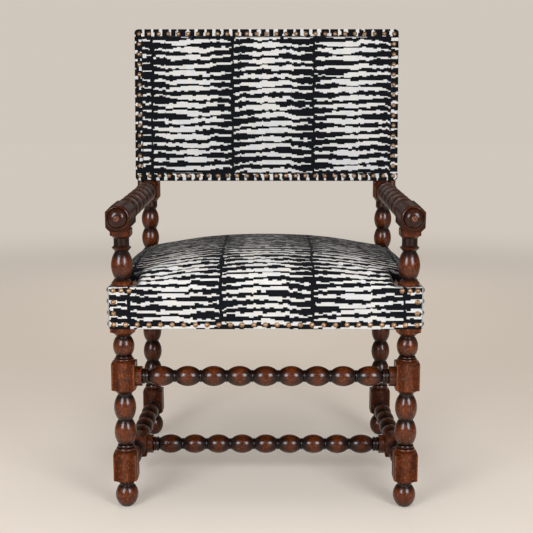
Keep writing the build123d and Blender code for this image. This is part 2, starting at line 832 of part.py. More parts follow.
# Seat webbing: webs front to back on the end rails, webs across them on the side rails
outer_x = leg_x + half
outer_y = (front_y - half, rear_y + half)
with BuildPart() as long_webs:
    pitch = (rail_span[1] - rail_span[0]) / seat_webs_long
    for i in range(seat_webs_long):
        middle = rail_span[0] + pitch * (i + 0.5)
        web_x = (middle - web_width / 2, middle + web_width / 2)
        level_slab(web_x, grown(outer_y, -web_tack), (rail_top, side_rail_top))
save(long_webs, "seat_webbing_long")

with BuildPart() as cross_webs:
    pitch = (side_span[1] - side_span[0]) / seat_webs_cross
    for i in range(seat_webs_cross):
        middle = side_span[0] + pitch * (i + 0.5)
        web_y = (middle - web_width / 2, middle + web_width / 2)
        top = side_rail_top + web_thickness
        level_slab(grown((-outer_x, outer_x), -web_tack), web_y, (side_rail_top, top))
save(cross_webs, "seat_webbing_cross")


def posts_cut(gap, z):
    """Square cuts around the four posts, a gap larger than each."""
    for _, sign in sides:
        for _, end_y, _ in ends:
            post_x = (sign * leg_x - half, sign * leg_x + half)
            post_y = (end_y - half, end_y + half)
            level_slab(grown(post_x, gap), grown(post_y, gap), z, Mode.SUBTRACT)


with BuildPart() as seat_hessian:
    hessian_z = (frame_top - hessian_thickness, frame_top)
    level_slab(grown((-outer_x, outer_x), -hessian_inset), grown(outer_y, -hessian_inset), hessian_z)
    posts_cut(sheet_gap, hessian_z)
save(seat_hessian, "seat_hessian")

with BuildPart() as dust_cover:
    dust_z = (rail_low - dust_cover_thickness, rail_low)
    dust_x = grown((-outer_x, outer_x), -dust_cover_inset)
    level_slab(dust_x, grown(outer_y, -dust_cover_inset), dust_z)
    posts_cut(sheet_gap, dust_z)
save(dust_cover, "seat_dust_cover")


def crown(grow):
    """Crowned seat body, grown all round: level along its sides, domed and rounded on top."""
    wide = outer_x + seat_padding + grow
    shoulder = wide - crown_shoulder_run
    near, far = grown(outer_y, seat_padding + grow)
    edge = frame_top + grow
    with BuildPart() as body:
        for place, share in both_halves(crown_shape):
            plane = Plane(
                origin=(0, near + (far - near) * place, 0), x_dir=(1, 0, 0), z_dir=(0, -1, 0)
            )
            side_top = edge + crown_shoulder_rise * share
            bend_x = shoulder + crown_shoulder_run * crown_shoulder_bend
            bend_z = edge + crown_shoulder_rise * share * crown_shoulder_bend
            with BuildSketch(plane):
                with BuildLine():
                    Line((-wide, cover_low), (wide, cover_low))
                    Line((wide, cover_low), (wide, edge))
                    ThreePointArc((wide, edge), (bend_x, bend_z), (shoulder, side_top))
                    middle = (0, edge + crown_rise * share)
                    ThreePointArc((shoulder, side_top), middle, (-shoulder, side_top))
                    ThreePointArc((-shoulder, side_top), (-bend_x, bend_z), (-wide, edge))
                    Line((-wide, edge), (-wide, cover_low))
                make_face()
        loft()
    return body.part


def post_notches(gap, low):
    """Corner spaces round the posts, cut out of the crown above a level."""
    top = frame_top + 2 * crown_rise
    for _, sign in sides:
        for _, end_y, facing in ends:
            notch_x = (sign * (leg_x - half - gap), sign * 2 * leg_x)
            notch_y = (end_y - facing * (half + gap), end_y + facing * leg_depth / 3)
            level_slab(notch_x, notch_y, (low, top), Mode.SUBTRACT)


# Stuffing: the crown inside the cover, with a skirt of wadding down the rails
crown_inside = crown(0)
crown_outside = crown(cover_thickness)
with BuildPart() as seat_inside:
    add(crown_inside)
    post_notches(notch_gap + cover_thickness, frame_top)

with BuildPart() as seat_stuffing:
    add(seat_inside.part)
    level_slab((-outer_x, outer_x), outer_y, (0, frame_top), Mode.SUBTRACT)
save(seat_stuffing, "seat_stuffing")

with BuildPart() as seat_cover:
    add(crown_outside)
    post_notches(notch_gap, frame_top + cover_thickness)
    add(seat_inside.part, mode=Mode.SUBTRACT)
    for _, sign in sides:
        for _, end_y, _ in ends:
            hole = base_ring + 2 * shelf_gap
            bore((sign * leg_x, end_y, frame_top), (0, 0, 1), hole, base_height)
save(seat_cover, "seat_cover")

# Back webbing and hessian on the face of the rails and stiles
sheet_x = grown(rail_span, back_sheet_lap)
sheet_y = grown((lower_rail_y[1], upper_rail_y[0]), back_sheet_lap)
web_z = (stile_front, stile_front + web_thickness)
hessian_back_z = (web_z[1], web_z[1] + hessian_thickness)
with BuildPart() as back_webbing:
    pitch = (rail_span[1] - rail_span[0]) / back_webs
    for i in range(back_webs):
        middle = rail_span[0] + pitch * (i + 0.5)
        back_slab((middle - web_width / 2, middle + web_width / 2), sheet_y, web_z)
save(back_webbing, "back_webbing")

with BuildPart() as back_hessian:
    back_slab(sheet_x, sheet_y, hessian_back_z)
save(back_hessian, "back_hessian")


def back_body(inset, front, rear):
    """Body of the back between a rear and a front level, crowned inside its flat border."""
    wide = back_half - inset
    dome_x = back_half - back_border
    dome_y = (back_border, back_height - back_border)
    with BuildPart() as dome:
        for place, share in both_halves(back_shape):
            up = dome_y[0] + (dome_y[1] - dome_y[0]) * place
            origin = back_plane.from_local_coords((0, up, 0))
            plane = Plane(origin=origin, x_dir=(1, 0, 0), z_dir=back_plane.y_dir)
            with BuildSketch(plane):
                with BuildLine():
                    root = cover_thickness - front
                    Polyline((-dome_x, -front), (-dome_x, root), (dome_x, root), (dome_x, -front))
                    top = (0, -front - back_crown * share)
                    ThreePointArc((dome_x, -front), top, (-dome_x, -front))
                make_face()
        loft()
    with BuildPart() as body:
        back_slab((-wide, wide), (inset, back_height - inset), (rear, front))
        add(dome.part)
    return body.part


back_outside = back_body(0, cover_front, stile_z[0])
back_inside = back_body(cover_thickness, cover_inside, stile_z[0])


def stiles_cut(gap):
    """Cuts for the stiles where they pass through the lower edge of the back."""
    for _, sign in sides:
        stile_x = (sign * (leg_x - half), sign * stile_outer)
        back_slab(grown(stile_x, gap), (-half, back_height / 2), grown(stile_z, gap), Mode.SUBTRACT)


with BuildPart() as back_stuffing:
    add(back_inside)
    back_slab((-stile_outer, stile_outer), frame_y, (stile_z[0], stile_front), Mode.SUBTRACT)
    back_slab(sheet_x, sheet_y, (stile_front, hessian_back_z[1]), Mode.SUBTRACT)
    stiles_cut(0)
save(back_stuffing, "back_stuffing")

with BuildPart() as back_cover:
    add(back_outside)
    add(back_inside, mode=Mode.SUBTRACT)
    stiles_cut(0)
save(back_cover, "back_cover")

with BuildPart() as back_outer_panel:
    outer_z = (-back_rear, stile_z[0])
    back_slab((-back_half, back_half), (0, back_height), outer_z)
save(back_outer_panel, "back_outer_panel")

# Trim strips on the border of the back
trim_z = (cover_front, cover_front + trim_thickness)
side_trim_y = (trim_width, back_height - trim_width)
trim_strips = {
    "top": ((-back_half, back_half), (back_height - trim_width, back_height)),
    "bottom": ((-back_half, back_half), (0, trim_width)),
    "left": ((-back_half, -back_half + trim_width), side_trim_y),
    "right": ((back_half - trim_width, back_half), side_trim_y),
}
for name, (strip_x, strip_y) in trim_strips.items():
    with BuildPart() as trim:
        back_slab(strip_x, strip_y, trim_z)
    save(trim, f"back_trim_{name}")

# One dome nail, its head on the plane z = 0 and its point below
with BuildPart() as nail:
    with BuildSketch(Plane.XZ):
        with BuildLine():
            dome_radius = (nail_head**2 / 4 + nail_rise**2) / (2 * nail_rise)
            lean = sqrt(0.5)
            nail_bend = (nail_head / 2 * lean, 0)
            bend_up = sqrt(dome_radius**2 - nail_bend[0] ** 2) - (dome_radius - nail_rise)
            ThreePointArc((nail_head / 2, 0), (nail_bend[0], bend_up), (0, nail_rise))
            Polyline(
                (0, nail_rise),
                (0, -nail_length),
                (nail_shank / 2, nail_point - nail_length),
                (nail_shank / 2, 0),
                (nail_head / 2, 0),
            )
        make_face()
    revolve(axis=Axis.Z)


def nail_group(places):
    """Group of nails, each at the origin of its own plane with its head along z."""
    with BuildPart() as group:
        with Locations(*[Location(place) for place in places]):
            add(nail.part)
    return group


def facing_plane(point, direction):
    """Plane at a point whose z axis is a direction."""
    return Plane(origin=point, z_dir=direction)


# Nails round the front border of the back
row_x = back_half - nail_inset
row_y = (nail_inset, back_height - nail_inset)
border = [(x, y) for x in spread(-row_x, row_x, nail_pitch) for y in row_y]
border += [(x, y) for y in spread(*row_y, nail_pitch)[1:-1] for x in (-row_x, row_x)]
face_z = back_plane.z_dir
front_places = [
    facing_plane(back_plane.from_local_coords((x, y, trim_z[1])), face_z) for x, y in border
]
save(nail_group(front_places), "back_nails")

# Nails round the outside back
rear_places = [
    facing_plane(back_plane.from_local_coords((x, y, -back_rear)), -face_z) for x, y in border
]
save(nail_group(rear_places), "outer_back_nails")

# Nails of the seat: a row round the lower edge, columns and top rows at the posts
seat_x = outer_x + seat_padding + cover_thickness
seat_y = grown(outer_y, seat_padding + cover_thickness)
hem_z = cover_low + seat_nail_hem
top_z = frame_top - seat_nail_top
column_z = spread(hem_z, top_z, (top_z - hem_z) / (column_nails - 1))[1:]
post_run = post_square / post_nails
seat_places = []
for _, end_y, facing in ends:
    face_y = seat_y[0] if facing < 0 else seat_y[1]
    first = seat_x - seat_nail_inset
    spots = [(x, hem_z) for x in spread(-first, first, nail_pitch)]
    for _, sign in sides:
        spots += [(sign * first, z) for z in column_z]
        spots += [(sign * (first - post_run * (i + 1)), top_z) for i in range(post_nails - 1)]
    seat_places += [facing_plane((x, face_y, z), (0, facing, 0)) for x, z in spots]
for _, sign in sides:
    first = (seat_y[0] + seat_nail_inset, seat_y[1] - seat_nail_inset)
    spots = [(y, hem_z) for y in spread(*first, nail_pitch)]
    for start, step in ((first[0], post_run), (first[1], -post_run)):
        spots += [(start, z) for z in column_z]
        spots += [(start + step * (i + 1), top_z) for i in range(post_nails - 1)]
    seat_places += [facing_plane((sign * seat_x, y, z), (sign, 0, 0)) for y, z in spots]

# Nails in the cover round each post
notch_z = frame_top + cover_thickness + nail_head / 2 + shelf_gap
for _, sign in sides:
    for _, end_y, facing in ends:
        wall_x = sign * (leg_x - half - notch_gap)
        wall_y = end_y - facing * (half + notch_gap)
        for place in notch_nails:
            beside = (wall_x, end_y - facing * place, notch_z)
            behind = (sign * (leg_x - place), wall_y, notch_z)
            seat_places.append(facing_plane(beside, (sign, 0, 0)))
            seat_places.append(facing_plane(behind, (0, facing, 0)))
save(nail_group(seat_places), "seat_nails")

print("front legs' axis y", round(front_y, 2), "rear", round(rear_y, 2), "seat frame top", frame_top)
print("arm slope", round(degrees(arm_slope), 2), "degrees, back lower edge", back_low)
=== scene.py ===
# %% [markdown]
# # A bobbin-turned armchair
# The packed model brings the turned walnut frame, its pegs and its dome nails. This lesson dresses it: the
# seat and back covers are sewn as grids and blown out by a cloth simulation, the weave and the worn walnut
# are node groups, and a soft studio stands round the chair. Everything is in metres, +Z up, front to -Y.

# %% Load the packed chair
import json
import math

import bmesh
import bpy
import numpy as np
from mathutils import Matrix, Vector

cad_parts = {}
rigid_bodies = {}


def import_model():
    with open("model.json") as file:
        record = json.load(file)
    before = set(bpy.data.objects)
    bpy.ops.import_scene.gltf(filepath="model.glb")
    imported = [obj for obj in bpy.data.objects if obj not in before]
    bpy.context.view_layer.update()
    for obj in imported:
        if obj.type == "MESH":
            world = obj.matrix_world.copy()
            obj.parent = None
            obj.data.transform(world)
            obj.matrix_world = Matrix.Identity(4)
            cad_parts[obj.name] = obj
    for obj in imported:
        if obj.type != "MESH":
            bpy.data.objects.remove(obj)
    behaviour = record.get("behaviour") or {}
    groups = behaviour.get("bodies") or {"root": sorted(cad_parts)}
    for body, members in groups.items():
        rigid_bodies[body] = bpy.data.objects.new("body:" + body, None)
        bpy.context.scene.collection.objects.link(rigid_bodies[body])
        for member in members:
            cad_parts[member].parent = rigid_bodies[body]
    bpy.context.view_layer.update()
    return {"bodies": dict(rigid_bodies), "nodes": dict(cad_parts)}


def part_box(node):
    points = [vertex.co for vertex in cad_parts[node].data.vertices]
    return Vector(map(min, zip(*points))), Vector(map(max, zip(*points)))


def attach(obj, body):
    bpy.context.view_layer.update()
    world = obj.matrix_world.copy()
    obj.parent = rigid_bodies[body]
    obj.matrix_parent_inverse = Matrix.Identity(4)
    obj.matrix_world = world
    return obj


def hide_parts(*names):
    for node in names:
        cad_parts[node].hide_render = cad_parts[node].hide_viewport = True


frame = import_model()
nodes = frame["nodes"]
body = next(iter(frame["bodies"]))

# %% [markdown]
# ## Measures taken from the frame
# A piece fits only if it starts from the pieces that carry it. The axes of the legs and the extent of the
# seat come from the CAD boxes, so that the cloth follows the frame that it is nailed to.

# %% Measures
post_half = 0.0225  # half of the posts' square stock
rail_setback = 0.01  # the rear rail lies this far behind the posts' axis


def middle_of(node):
    """Centre of a CAD node's box."""
    low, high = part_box(node)
    return (low + high) / 2


leg_axis = middle_of("front_leg_right")
leg_x, front_y = leg_axis.x, leg_axis.y
rear_y = middle_of("rear_seat_rail").y - rail_setback
seat_low, seat_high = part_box("seat_cover")
frame_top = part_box("seat_hessian")[1].z
print("leg axes x", round(leg_x, 4), "front y", round(front_y, 4), "rear y", round(rear_y, 4))

# %% [markdown]
# ## Meshes from arrays
# A surface is a grid of points: two parameters in, one point out. The faces of a grid follow from counting,
# so numpy writes them all at once, and patches that share an edge are welded afterwards. Each corner carries
# a UV in metres of flat cloth, because a woven pattern follows the cloth and not the room.

# %% Grid helpers
def grid_faces(rows, columns, start=0, flip=False):
    """Quads between neighbouring rows and columns of a grid, numbered row by row from `start`."""
    i, j = np.meshgrid(np.arange(rows - 1), np.arange(columns - 1), indexing="ij")
    a = (start + i * columns + j).ravel()
    quads = np.stack([a, a + 1, a + 1 + columns, a + columns], axis=1)
    return quads[:, ::-1] if flip else quads


def sewn(patches):
    """Points, UVs and faces of all patches of (points, uv, flip), one after the other."""
    points, uvs, faces, start = [], [], [], 0
    for grid, uv, flip in patches:
        rows, columns = grid.shape[:2]
        faces.append(grid_faces(rows, columns, start, flip))
        points.append(grid.reshape(-1, 3))
        uvs.append(uv.reshape(-1, 2))
        start += rows * columns
    return np.concatenate(points), np.concatenate(uvs), np.concatenate(faces)


def mesh_piece(name, patches, weld=2e-5, keep=None):
    """One object from patches, welded along shared edges; `keep` says which faces stay, by their centres."""
    points, uvs, faces = sewn(patches)
    if keep is not None:
        faces = faces[keep(points[faces].mean(axis=1))]
        used, order = np.unique(faces, return_inverse=True)
        points, uvs, faces = points[used], uvs[used], order.reshape(-1, 4)
    mesh = bpy.data.meshes.new(name)
    mesh.from_pydata(points.tolist(), [], faces.tolist())
    layer = mesh.uv_layers.new(name="cloth")
    layer.data.foreach_set("uv", uvs[faces.ravel()].astype(np.float32).ravel())
    work = bmesh.new()
    work.from_mesh(mesh)
    bmesh.ops.remove_doubles(work, verts=work.verts, dist=weld)
    work.to_mesh(mesh)
    work.free()
    mesh.polygons.foreach_set("use_smooth", np.ones(len(mesh.polygons), bool))
    piece = bpy.data.objects.new(name, mesh)
    bpy.context.scene.collection.objects.link(piece)
    return piece


print("a grid of 4 rows and 5 columns has", len(grid_faces(4, 5)), "faces")

# %% Array helpers
def coordinates(mesh):
    """Vertex places of a mesh as one array."""
    flat = np.empty(len(mesh.vertices) * 3, np.float32)
    mesh.vertices.foreach_get("co", flat)
    return flat.reshape(-1, 3).astype(float)


def smooth_step(t):
    """0 below 0, 1 above 1, and an even S between."""
    t = np.clip(t, 0, 1)
    return t * t * (3 - 2 * t)


def superellipse(t, outer, inner):
    """One minus |t| to the outer power, all to the inner power: level in the middle, steep at both ends."""
    return np.clip(1 - np.abs(t) ** outer, 0, 1) ** inner


def run_length(*steps):
    """Length along a line of points given as arrays of its coordinates, starting at 0."""
    parts = np.sqrt(sum(np.diff(s) ** 2 for s in steps))
    return np.concatenate([[0.0], np.cumsum(parts)])


def eased(count):
    """Places from -1 to 1 that lie closer together near both ends."""
    p = np.linspace(-1, 1, count)
    return 0.72 * p + 0.28 * np.sin(p * math.pi / 2)


def rounded(x, y, half_x, half_y, mid_y, radius):
    """Rectangle with its corners mapped to arcs: each corner square is squeezed into a quarter disc."""
    inner_x, inner_y = half_x - radius, half_y - radius
    qx = np.clip(np.abs(x) - inner_x, 0, None)
    qy = np.clip(np.abs(y - mid_y) - inner_y, 0, None)
    in_corner = (qx > 0) & (qy > 0)
    squeeze = np.where(in_corner, np.maximum(qx, qy) / np.maximum(np.hypot(qx, qy), 1e-12), 1.0)
    new_x = np.sign(x) * (np.minimum(np.abs(x), inner_x) + qx * squeeze)
    new_y = mid_y + np.sign(y - mid_y) * (np.minimum(np.abs(y - mid_y), inner_y) + qy * squeeze)
    return new_x, new_y


print("half way out, a round crown keeps", round(float(superellipse(0.5, 2.0, 0.5)), 3), "of its height")

# %% [markdown]
# ## Puffing a cover with cloth simulation
# A stuffed cover is tight where nails and seams hold it and swells where they don't. Blender's cloth does
# that: held points are pinned, air pressure pushes the rest out, and a cap keeps the swell to what hair
# and wadding would give. The result is written back into the mesh, so no simulation stays on the piece.

# %% Cloth helper
def pinned(piece, held):
    """Vertex group with each point's pin weight, in tenths."""
    group = piece.vertex_groups.new(name="held")
    tenths = np.round(held, 1)
    for level in np.unique(tenths):
        if level > 0:
            group.add(np.flatnonzero(tenths == level).tolist(), float(level), "REPLACE")
    return group


def puff(piece, held, pressure, most, frames=20):
    """Press a cover outwards for a few frames; `held` is each point's pin weight, `most` the largest move."""
    rest = coordinates(piece.data)
    group = pinned(piece, held)
    cloth = piece.modifiers.new("cloth", "CLOTH")
    cloth.settings.quality = 5
    cloth.settings.mass = 0.25
    cloth.settings.tension_stiffness = cloth.settings.compression_stiffness = 18
    cloth.settings.bending_stiffness = 0.6
    cloth.settings.use_pressure = True
    cloth.settings.uniform_pressure_force = pressure
    cloth.settings.vertex_group_mass = group.name
    cloth.settings.effector_weights.gravity = 0
    cloth.point_cache.frame_start, cloth.point_cache.frame_end = 1, frames
    for number in range(1, frames + 1):
        bpy.context.scene.frame_set(number)
    swollen = piece.evaluated_get(bpy.context.evaluated_depsgraph_get()).to_mesh()
    move = coordinates(swollen) - rest
    piece.to_mesh_clear()
    piece.modifiers.remove(cloth)
    bpy.context.scene.frame_set(1)
    size = np.linalg.norm(move, axis=1, keepdims=True)
    capped = move * np.minimum(1, most / np.maximum(size, 1e-9)) * (1 - held[:, None])
    piece.data.vertices.foreach_set("co", (rest + capped).astype(np.float32).ravel())
    piece.data.update()
    piece.vertex_groups.remove(group)
    print(piece.name, "swelled by up to", round(float(np.linalg.norm(capped, axis=1).max()) * 1000, 1), "mm")


def subdivided(piece, levels=1):
    """One smooth subdivision, the same in the view and in the render."""
    step = piece.modifiers.new("smooth", "SUBSURF")
    step.levels = step.render_levels = levels


print("a cloth frame lasts", round(1 / bpy.context.scene.render.fps, 3), "s")

# %% [markdown]
# ## The seat's crown
# The real cover is one width of cloth, drawn from the front rail over a crowned stuffing to the rear rail,
# with a boxed strip down each side. It is pressed flat round the four posts, where the arm supports stand
# up out of it. A dome could be sculpted, but a formula keeps both sides alike: the crown is a superellipse
# in each direction, so its edge rises steeply and its middle is almost level.

# %% Seat crown
seat_half_x = 0.3003
seat_half_y = (seat_high.y - seat_low.y) / 2 - 0.0002
seat_mid_y = (seat_high.y + seat_low.y) / 2
seat_hem = seat_low.z + 0.0004
seat_edge = frame_top + 0.002
crown_rise, press_run = 0.0595, 0.010  # height of the crown, and how fast it rises beside a post
corner_radius, post_gap = 0.007, 0.003
notch_x = leg_x - post_half - post_gap
notch_y = seat_mid_y - front_y - post_half - post_gap


def from_post(x, y):
    """Distance from the square of cloth that is pressed flat round the nearest post."""
    return np.hypot(np.maximum(notch_x - np.abs(x), 0), np.maximum(notch_y - np.abs(y - seat_mid_y), 0))


def seat_crown(x, y):
    """Height of the seat above its edge: two superellipse falls, pressed flat in the corner round each post."""
    across = superellipse(x / seat_half_x, 1.7, 0.415)
    along = superellipse((y - seat_mid_y) / seat_half_y, 2.4, 0.46)
    return crown_rise * across * along * smooth_step(from_post(x, y) / press_run)


def rounded_plan(x, y):
    """The seat's plan with its four corners rounded."""
    return rounded(x, y, seat_half_x, seat_half_y, seat_mid_y, corner_radius)


print("seat edge at", round(seat_edge, 4), "crown at", round(float(seat_edge + seat_crown(0.0, seat_mid_y)), 4))

# %% [markdown]
# ## Cutting and sewing the seat cover
# The cover is five patches: the crowned top and a flap down each side, turned in under the rail at its hem.
# The front and rear flaps carry the top's own cloth on, so their UVs run on from the top's edge and the
# stripes meet there. The side strips are cut separately, so theirs start elsewhere in the cloth.

# %% Seat patches
weave_shift = 0.003  # the pattern's middle lies a little to one side of the chair's
side_u, side_v = 1.37, 0.43  # where in the cloth the side strips were cut
hem_rise = np.array([-0.0002, 0.0, 0.0006])  # the hem's turn under the rail, above its lower edge
hem_inset = np.array([0.0015, 0.006, 0.012])  # and inwards from its face
seat_x, seat_y = seat_half_x * eased(121), seat_mid_y + seat_half_y * eased(101)
flap_z = np.concatenate([seat_edge + (seat_hem - seat_edge) * np.linspace(0, 1, 18), seat_hem + hem_rise])
flap_in = np.concatenate([np.zeros(18), hem_inset])[:, None]
gx, gy = np.meshgrid(seat_x, seat_y)
top = np.stack([*rounded_plan(gx, gy), seat_edge + seat_crown(gx, gy)], axis=-1)
top_u = run_length(seat_x, seat_crown(seat_x, np.full_like(seat_x, seat_mid_y)))
top_u -= top_u[len(top_u) // 2] + weave_shift
top_v = run_length(seat_y, seat_crown(np.zeros_like(seat_y), seat_y)) + seat_edge - seat_hem
patches = [(top, np.stack(np.meshgrid(top_u, top_v), axis=-1), False)]
for facing in (-1, 1):
    fx, fz = np.meshgrid(seat_x, flap_z)
    qx, qy = rounded_plan(fx, np.full_like(fx, seat_mid_y + facing * seat_half_y))
    v = fz - seat_hem if facing < 0 else top_v[-1] + seat_edge - fz
    uv = np.stack([np.broadcast_to(top_u, fx.shape), v], axis=-1)
    patches.append((np.stack([qx, qy - facing * flap_in, fz], axis=-1), uv, facing < 0))
for facing in (-1, 1):
    fy, fz = np.meshgrid(seat_y, flap_z)
    qx, qy = rounded_plan(np.full_like(fy, facing * seat_half_x), fy)
    uv = np.stack([facing * (fy - seat_mid_y) + side_u, fz - seat_hem + side_v], axis=-1)
    patches.append((np.stack([qx - facing * flap_in, qy, fz], axis=-1), uv, facing > 0))
seat_cover_cloth = mesh_piece("seat_cover_cloth", patches)
print("seat cover", len(seat_cover_cloth.data.vertices), "points")

# %% [markdown]
# ## Stuffing the seat
# The nails hold the hem and the posts hold the corners, so these points are pinned. The sides are drawn almost
# flat over the rails, so they are pinned in part, and the rest swells freely. Round each post the cloth is
# tucked into folds, and a mesh attribute keeps how strongly painted shade darkens it there, for the material to
# read later.

# %% Swell the seat between its nails
nail_inset, nail_rise, nail_reach = 0.0115, 0.009, 0.006  # from the corner, above the hem, and round a nail
front_nails = 27
at = coordinates(seat_cover_cloth.data)
x, z, to_post = at[:, 0], at[:, 2], from_post(at[:, 0], at[:, 1])
# Painted shade: the cloth tucked round each post is darkened, most close to the post.
fold = 0.94 * (1 - smooth_step((to_post - 0.005) / 0.012)) * (z > seat_edge + 0.0005)
fold_shade_layer = seat_cover_cloth.data.attributes.new("fold", "FLOAT", "POINT")
fold_shade_layer.data.foreach_set("value", fold.astype(np.float32))
nail_pitch = 2 * (seat_half_x - nail_inset) / (front_nails - 1)
hem_row = np.exp(-(((z - seat_hem - nail_rise) / nail_reach) ** 2))
near_nail = 0.5 + 0.5 * np.cos(2 * math.pi * (x + seat_half_x - nail_inset) / nail_pitch)
held = np.where(z < seat_hem + 0.004, 1.0, 0.0)
held = np.maximum(held, hem_row * (0.6 + 0.4 * near_nail))
at_post = (np.abs(x) > notch_x - 0.004) & (np.abs(at[:, 1] - seat_mid_y) > notch_y - 0.004)
held = np.where(at_post, 1.0, held)
held = np.where(z < seat_edge - 0.004, np.maximum(held, 0.75), held)
puff(seat_cover_cloth, np.clip(held, 0, 1), pressure=3.0, most=0.005)
subdivided(seat_cover_cloth)
print("seat points held fast", int((held >= 1).sum()), "of", len(held))

# %% [markdown]
# ## The back
# The back leans, so its grids are worked out flat, as x across, y up the slope and n towards the sitter, and
# one turn puts them in place. The cloth is drawn tight over a thin pad: a low dome that starts inside the
# trim strip, where the nails hold it all round.

# %% Back shape
tilt = math.radians(5.0)
back_foot = np.array([0.0, rear_y, 0.6165])
back_half_x, back_tall, back_round = 0.3058, 0.349, 0.009
border_n, rear_n = 0.0138, -0.0222  # front of the border and rear of the back, from the stiles' axis
trim_wide, back_swell = 0.0172, 0.0095
back_u, back_v = -0.0155, 0.011  # where the weave's middle and hem fall on the back


def back_place(x, y, n):
    """From flat back sizes to the chair: corners rounded, y climbs the slope and n stands off it."""
    x, y = rounded(x, y, back_half_x, back_tall / 2, back_tall / 2, back_round)
    out = np.empty(np.broadcast(x, y, n).shape + (3,))
    out[..., 0] = back_foot[0] + x
    out[..., 1] = back_foot[1] + y * math.sin(tilt) - n * math.cos(tilt)
    out[..., 2] = back_foot[2] + y * math.cos(tilt) + n * math.sin(tilt)
    return out


def back_dome(x, y):
    """Swell of the back: a low dome inside the trim, a superellipse in each direction."""
    half_x, half_y = back_half_x - trim_wide, back_tall / 2 - trim_wide
    rise = superellipse(x / half_x, 2.4, 0.62) * superellipse((y - back_tall / 2) / half_y, 2.2, 0.62)
    return back_swell * rise


print("back leans", round(math.degrees(tilt), 1), "degrees, top at", round(back_place(0.0, back_tall, 0.0)[2], 4))

# %% [markdown]
# ## Sewing and stuffing the back cover
# The cover is the domed face and four edges folded back to the rear of the frame. The pad is thin, so the
# simulation may move it only a few millimetres.

# %% Back cover
back_x = back_half_x * eased(123)
back_y = back_tall / 2 + back_tall / 2 * eased(73)
depth_n = np.linspace(border_n, rear_n, 9)
bx, by = np.meshgrid(back_x, back_y)
face_uv = np.stack([bx + back_u, by + back_v], axis=-1)
patches = [(back_place(bx, by, border_n + back_dome(bx, by)), face_uv, False)]
for side in (-1, 1):
    ey, en = np.meshgrid(back_y, depth_n)
    uv = np.stack([side * (back_half_x + border_n - en) + back_u, ey + back_v], axis=-1)
    patches.append((back_place(np.full_like(ey, side * back_half_x), ey, en), uv, side > 0))
    ex, en = np.meshgrid(back_x, depth_n)
    level = back_tall if side > 0 else 0.0
    uv = np.stack([ex + back_u, level + side * (border_n - en) + back_v], axis=-1)
    patches.append((back_place(ex, np.full_like(ex, level), en), uv, side < 0))
back_cover_cloth = mesh_piece("back_cover_cloth", patches)
at = coordinates(back_cover_cloth.data)
flat_y = (at[:, 1] - back_foot[1]) * math.sin(tilt) + (at[:, 2] - back_foot[2]) * math.cos(tilt)
inside = np.minimum(back_half_x - np.abs(at[:, 0]), np.minimum(flat_y, back_tall - flat_y))
puff(back_cover_cloth, np.where(inside < trim_wide - 0.003, 1.0, 0.0), pressure=2.0, most=0.004)
subdivided(back_cover_cloth)
print("back cover", len(back_cover_cloth.data.vertices), "points")

# %% [markdown]
# ## Trim strips
# The border of the back is a folded band of the same cloth, nailed down its middle. A flat ribbon would
# look printed on, so the band is a rounded profile carried along its length, and each nail presses a small
# dimple into it. Its UVs run across the cloth, so the stripes cross the band as short bars.

# %% Trim strips
nail_row, nail_press = 0.0107, 0.006  # nails' line from the edge, and the reach of a nail's dimple
band_rise, band_sink, dimple, pucker, band_step = 0.0016, 0.0006, 0.0007, 0.0002, 0.0028
half_trim = trim_wide / 2
band_profile = np.array([-1, -0.99, -0.93, -0.7, -0.35, 0, 0.35, 0.7, 0.93, 0.99, 1.0])


def trim_strip(name, length, place, nails, bars):
    """Band of cloth: a flat-topped hump across its width, dimpled at each nail and slightly puckered."""
    along = np.linspace(0, length, int(length / band_step) + 1)
    s, w = np.meshgrid(along, band_profile * half_trim)
    hump = band_rise * (1 - np.abs(w / half_trim) ** 10) - band_sink
    gap = np.abs(s[..., None] - nails[None, None, :]).min(axis=-1)
    hump = hump - dimple * np.exp(-((gap / nail_press) ** 2) - (w / nail_press) ** 2)
    hump = hump + pucker * np.sin(s * 310 + w * 200)
    uv = np.stack([w + bars, s + bars * 1.7], axis=-1)
    return mesh_piece(name, [(place(s, w, border_n + 0.0002 + hump), uv, False)])


long_run, short_run = 2 * back_half_x, back_tall - 2 * trim_wide
nails_x = np.linspace(nail_row, 2 * back_half_x - nail_row, 27)
nails_y = np.linspace(nail_row, back_tall - nail_row, 15) - trim_wide
strip_list = {
    "top": (long_run, lambda s, w, n: back_place(s - back_half_x, back_tall - half_trim + w, n), nails_x, 0.31),
    "bottom": (long_run, lambda s, w, n: back_place(s - back_half_x, half_trim + w, n), nails_x, 0.52),
    "left": (short_run, lambda s, w, n: back_place(half_trim - back_half_x - w, s + trim_wide, n), nails_y, 0.77),
    "right": (short_run, lambda s, w, n: back_place(back_half_x - half_trim - w, s + trim_wide, n), nails_y, 0.93),
}
strips = {}
for edge, (length, place, nails, bars) in strip_list.items():
    strips[edge] = trim_strip(f"trim_cloth_{edge}", length, place, nails, bars)
    print("trim", edge, "flat size", round(length, 3), "by", trim_wide)

# %% [markdown]
# ## Outside back
# Behind, a plain black panel closes the frame. It hollows very slightly between its nails and has the
# thickness of a lined cloth, which Solidify adds to a single surface.

# %% Outside back
panel_gap, panel_hollow = 0.0006, 0.0008
panel_x = np.linspace(-1, 1, 61) * (back_half_x - panel_gap)
ox, oy = np.meshgrid(panel_x, np.linspace(panel_gap, back_tall - panel_gap, 41))
sag = panel_hollow * np.sin(math.pi * oy / back_tall) * np.cos(ox / back_half_x * math.pi / 2)
outside = back_place(ox, oy, rear_n - 0.0018 - sag)
outer_back_cloth = mesh_piece("outer_back_cloth", [(outside, np.stack([ox, oy], axis=-1), True)])
rim = outer_back_cloth.modifiers.new("thickness", "SOLIDIFY")
rim.thickness, rim.offset = 0.0016, -1
print("outside back", len(outer_back_cloth.data.polygons), "faces")

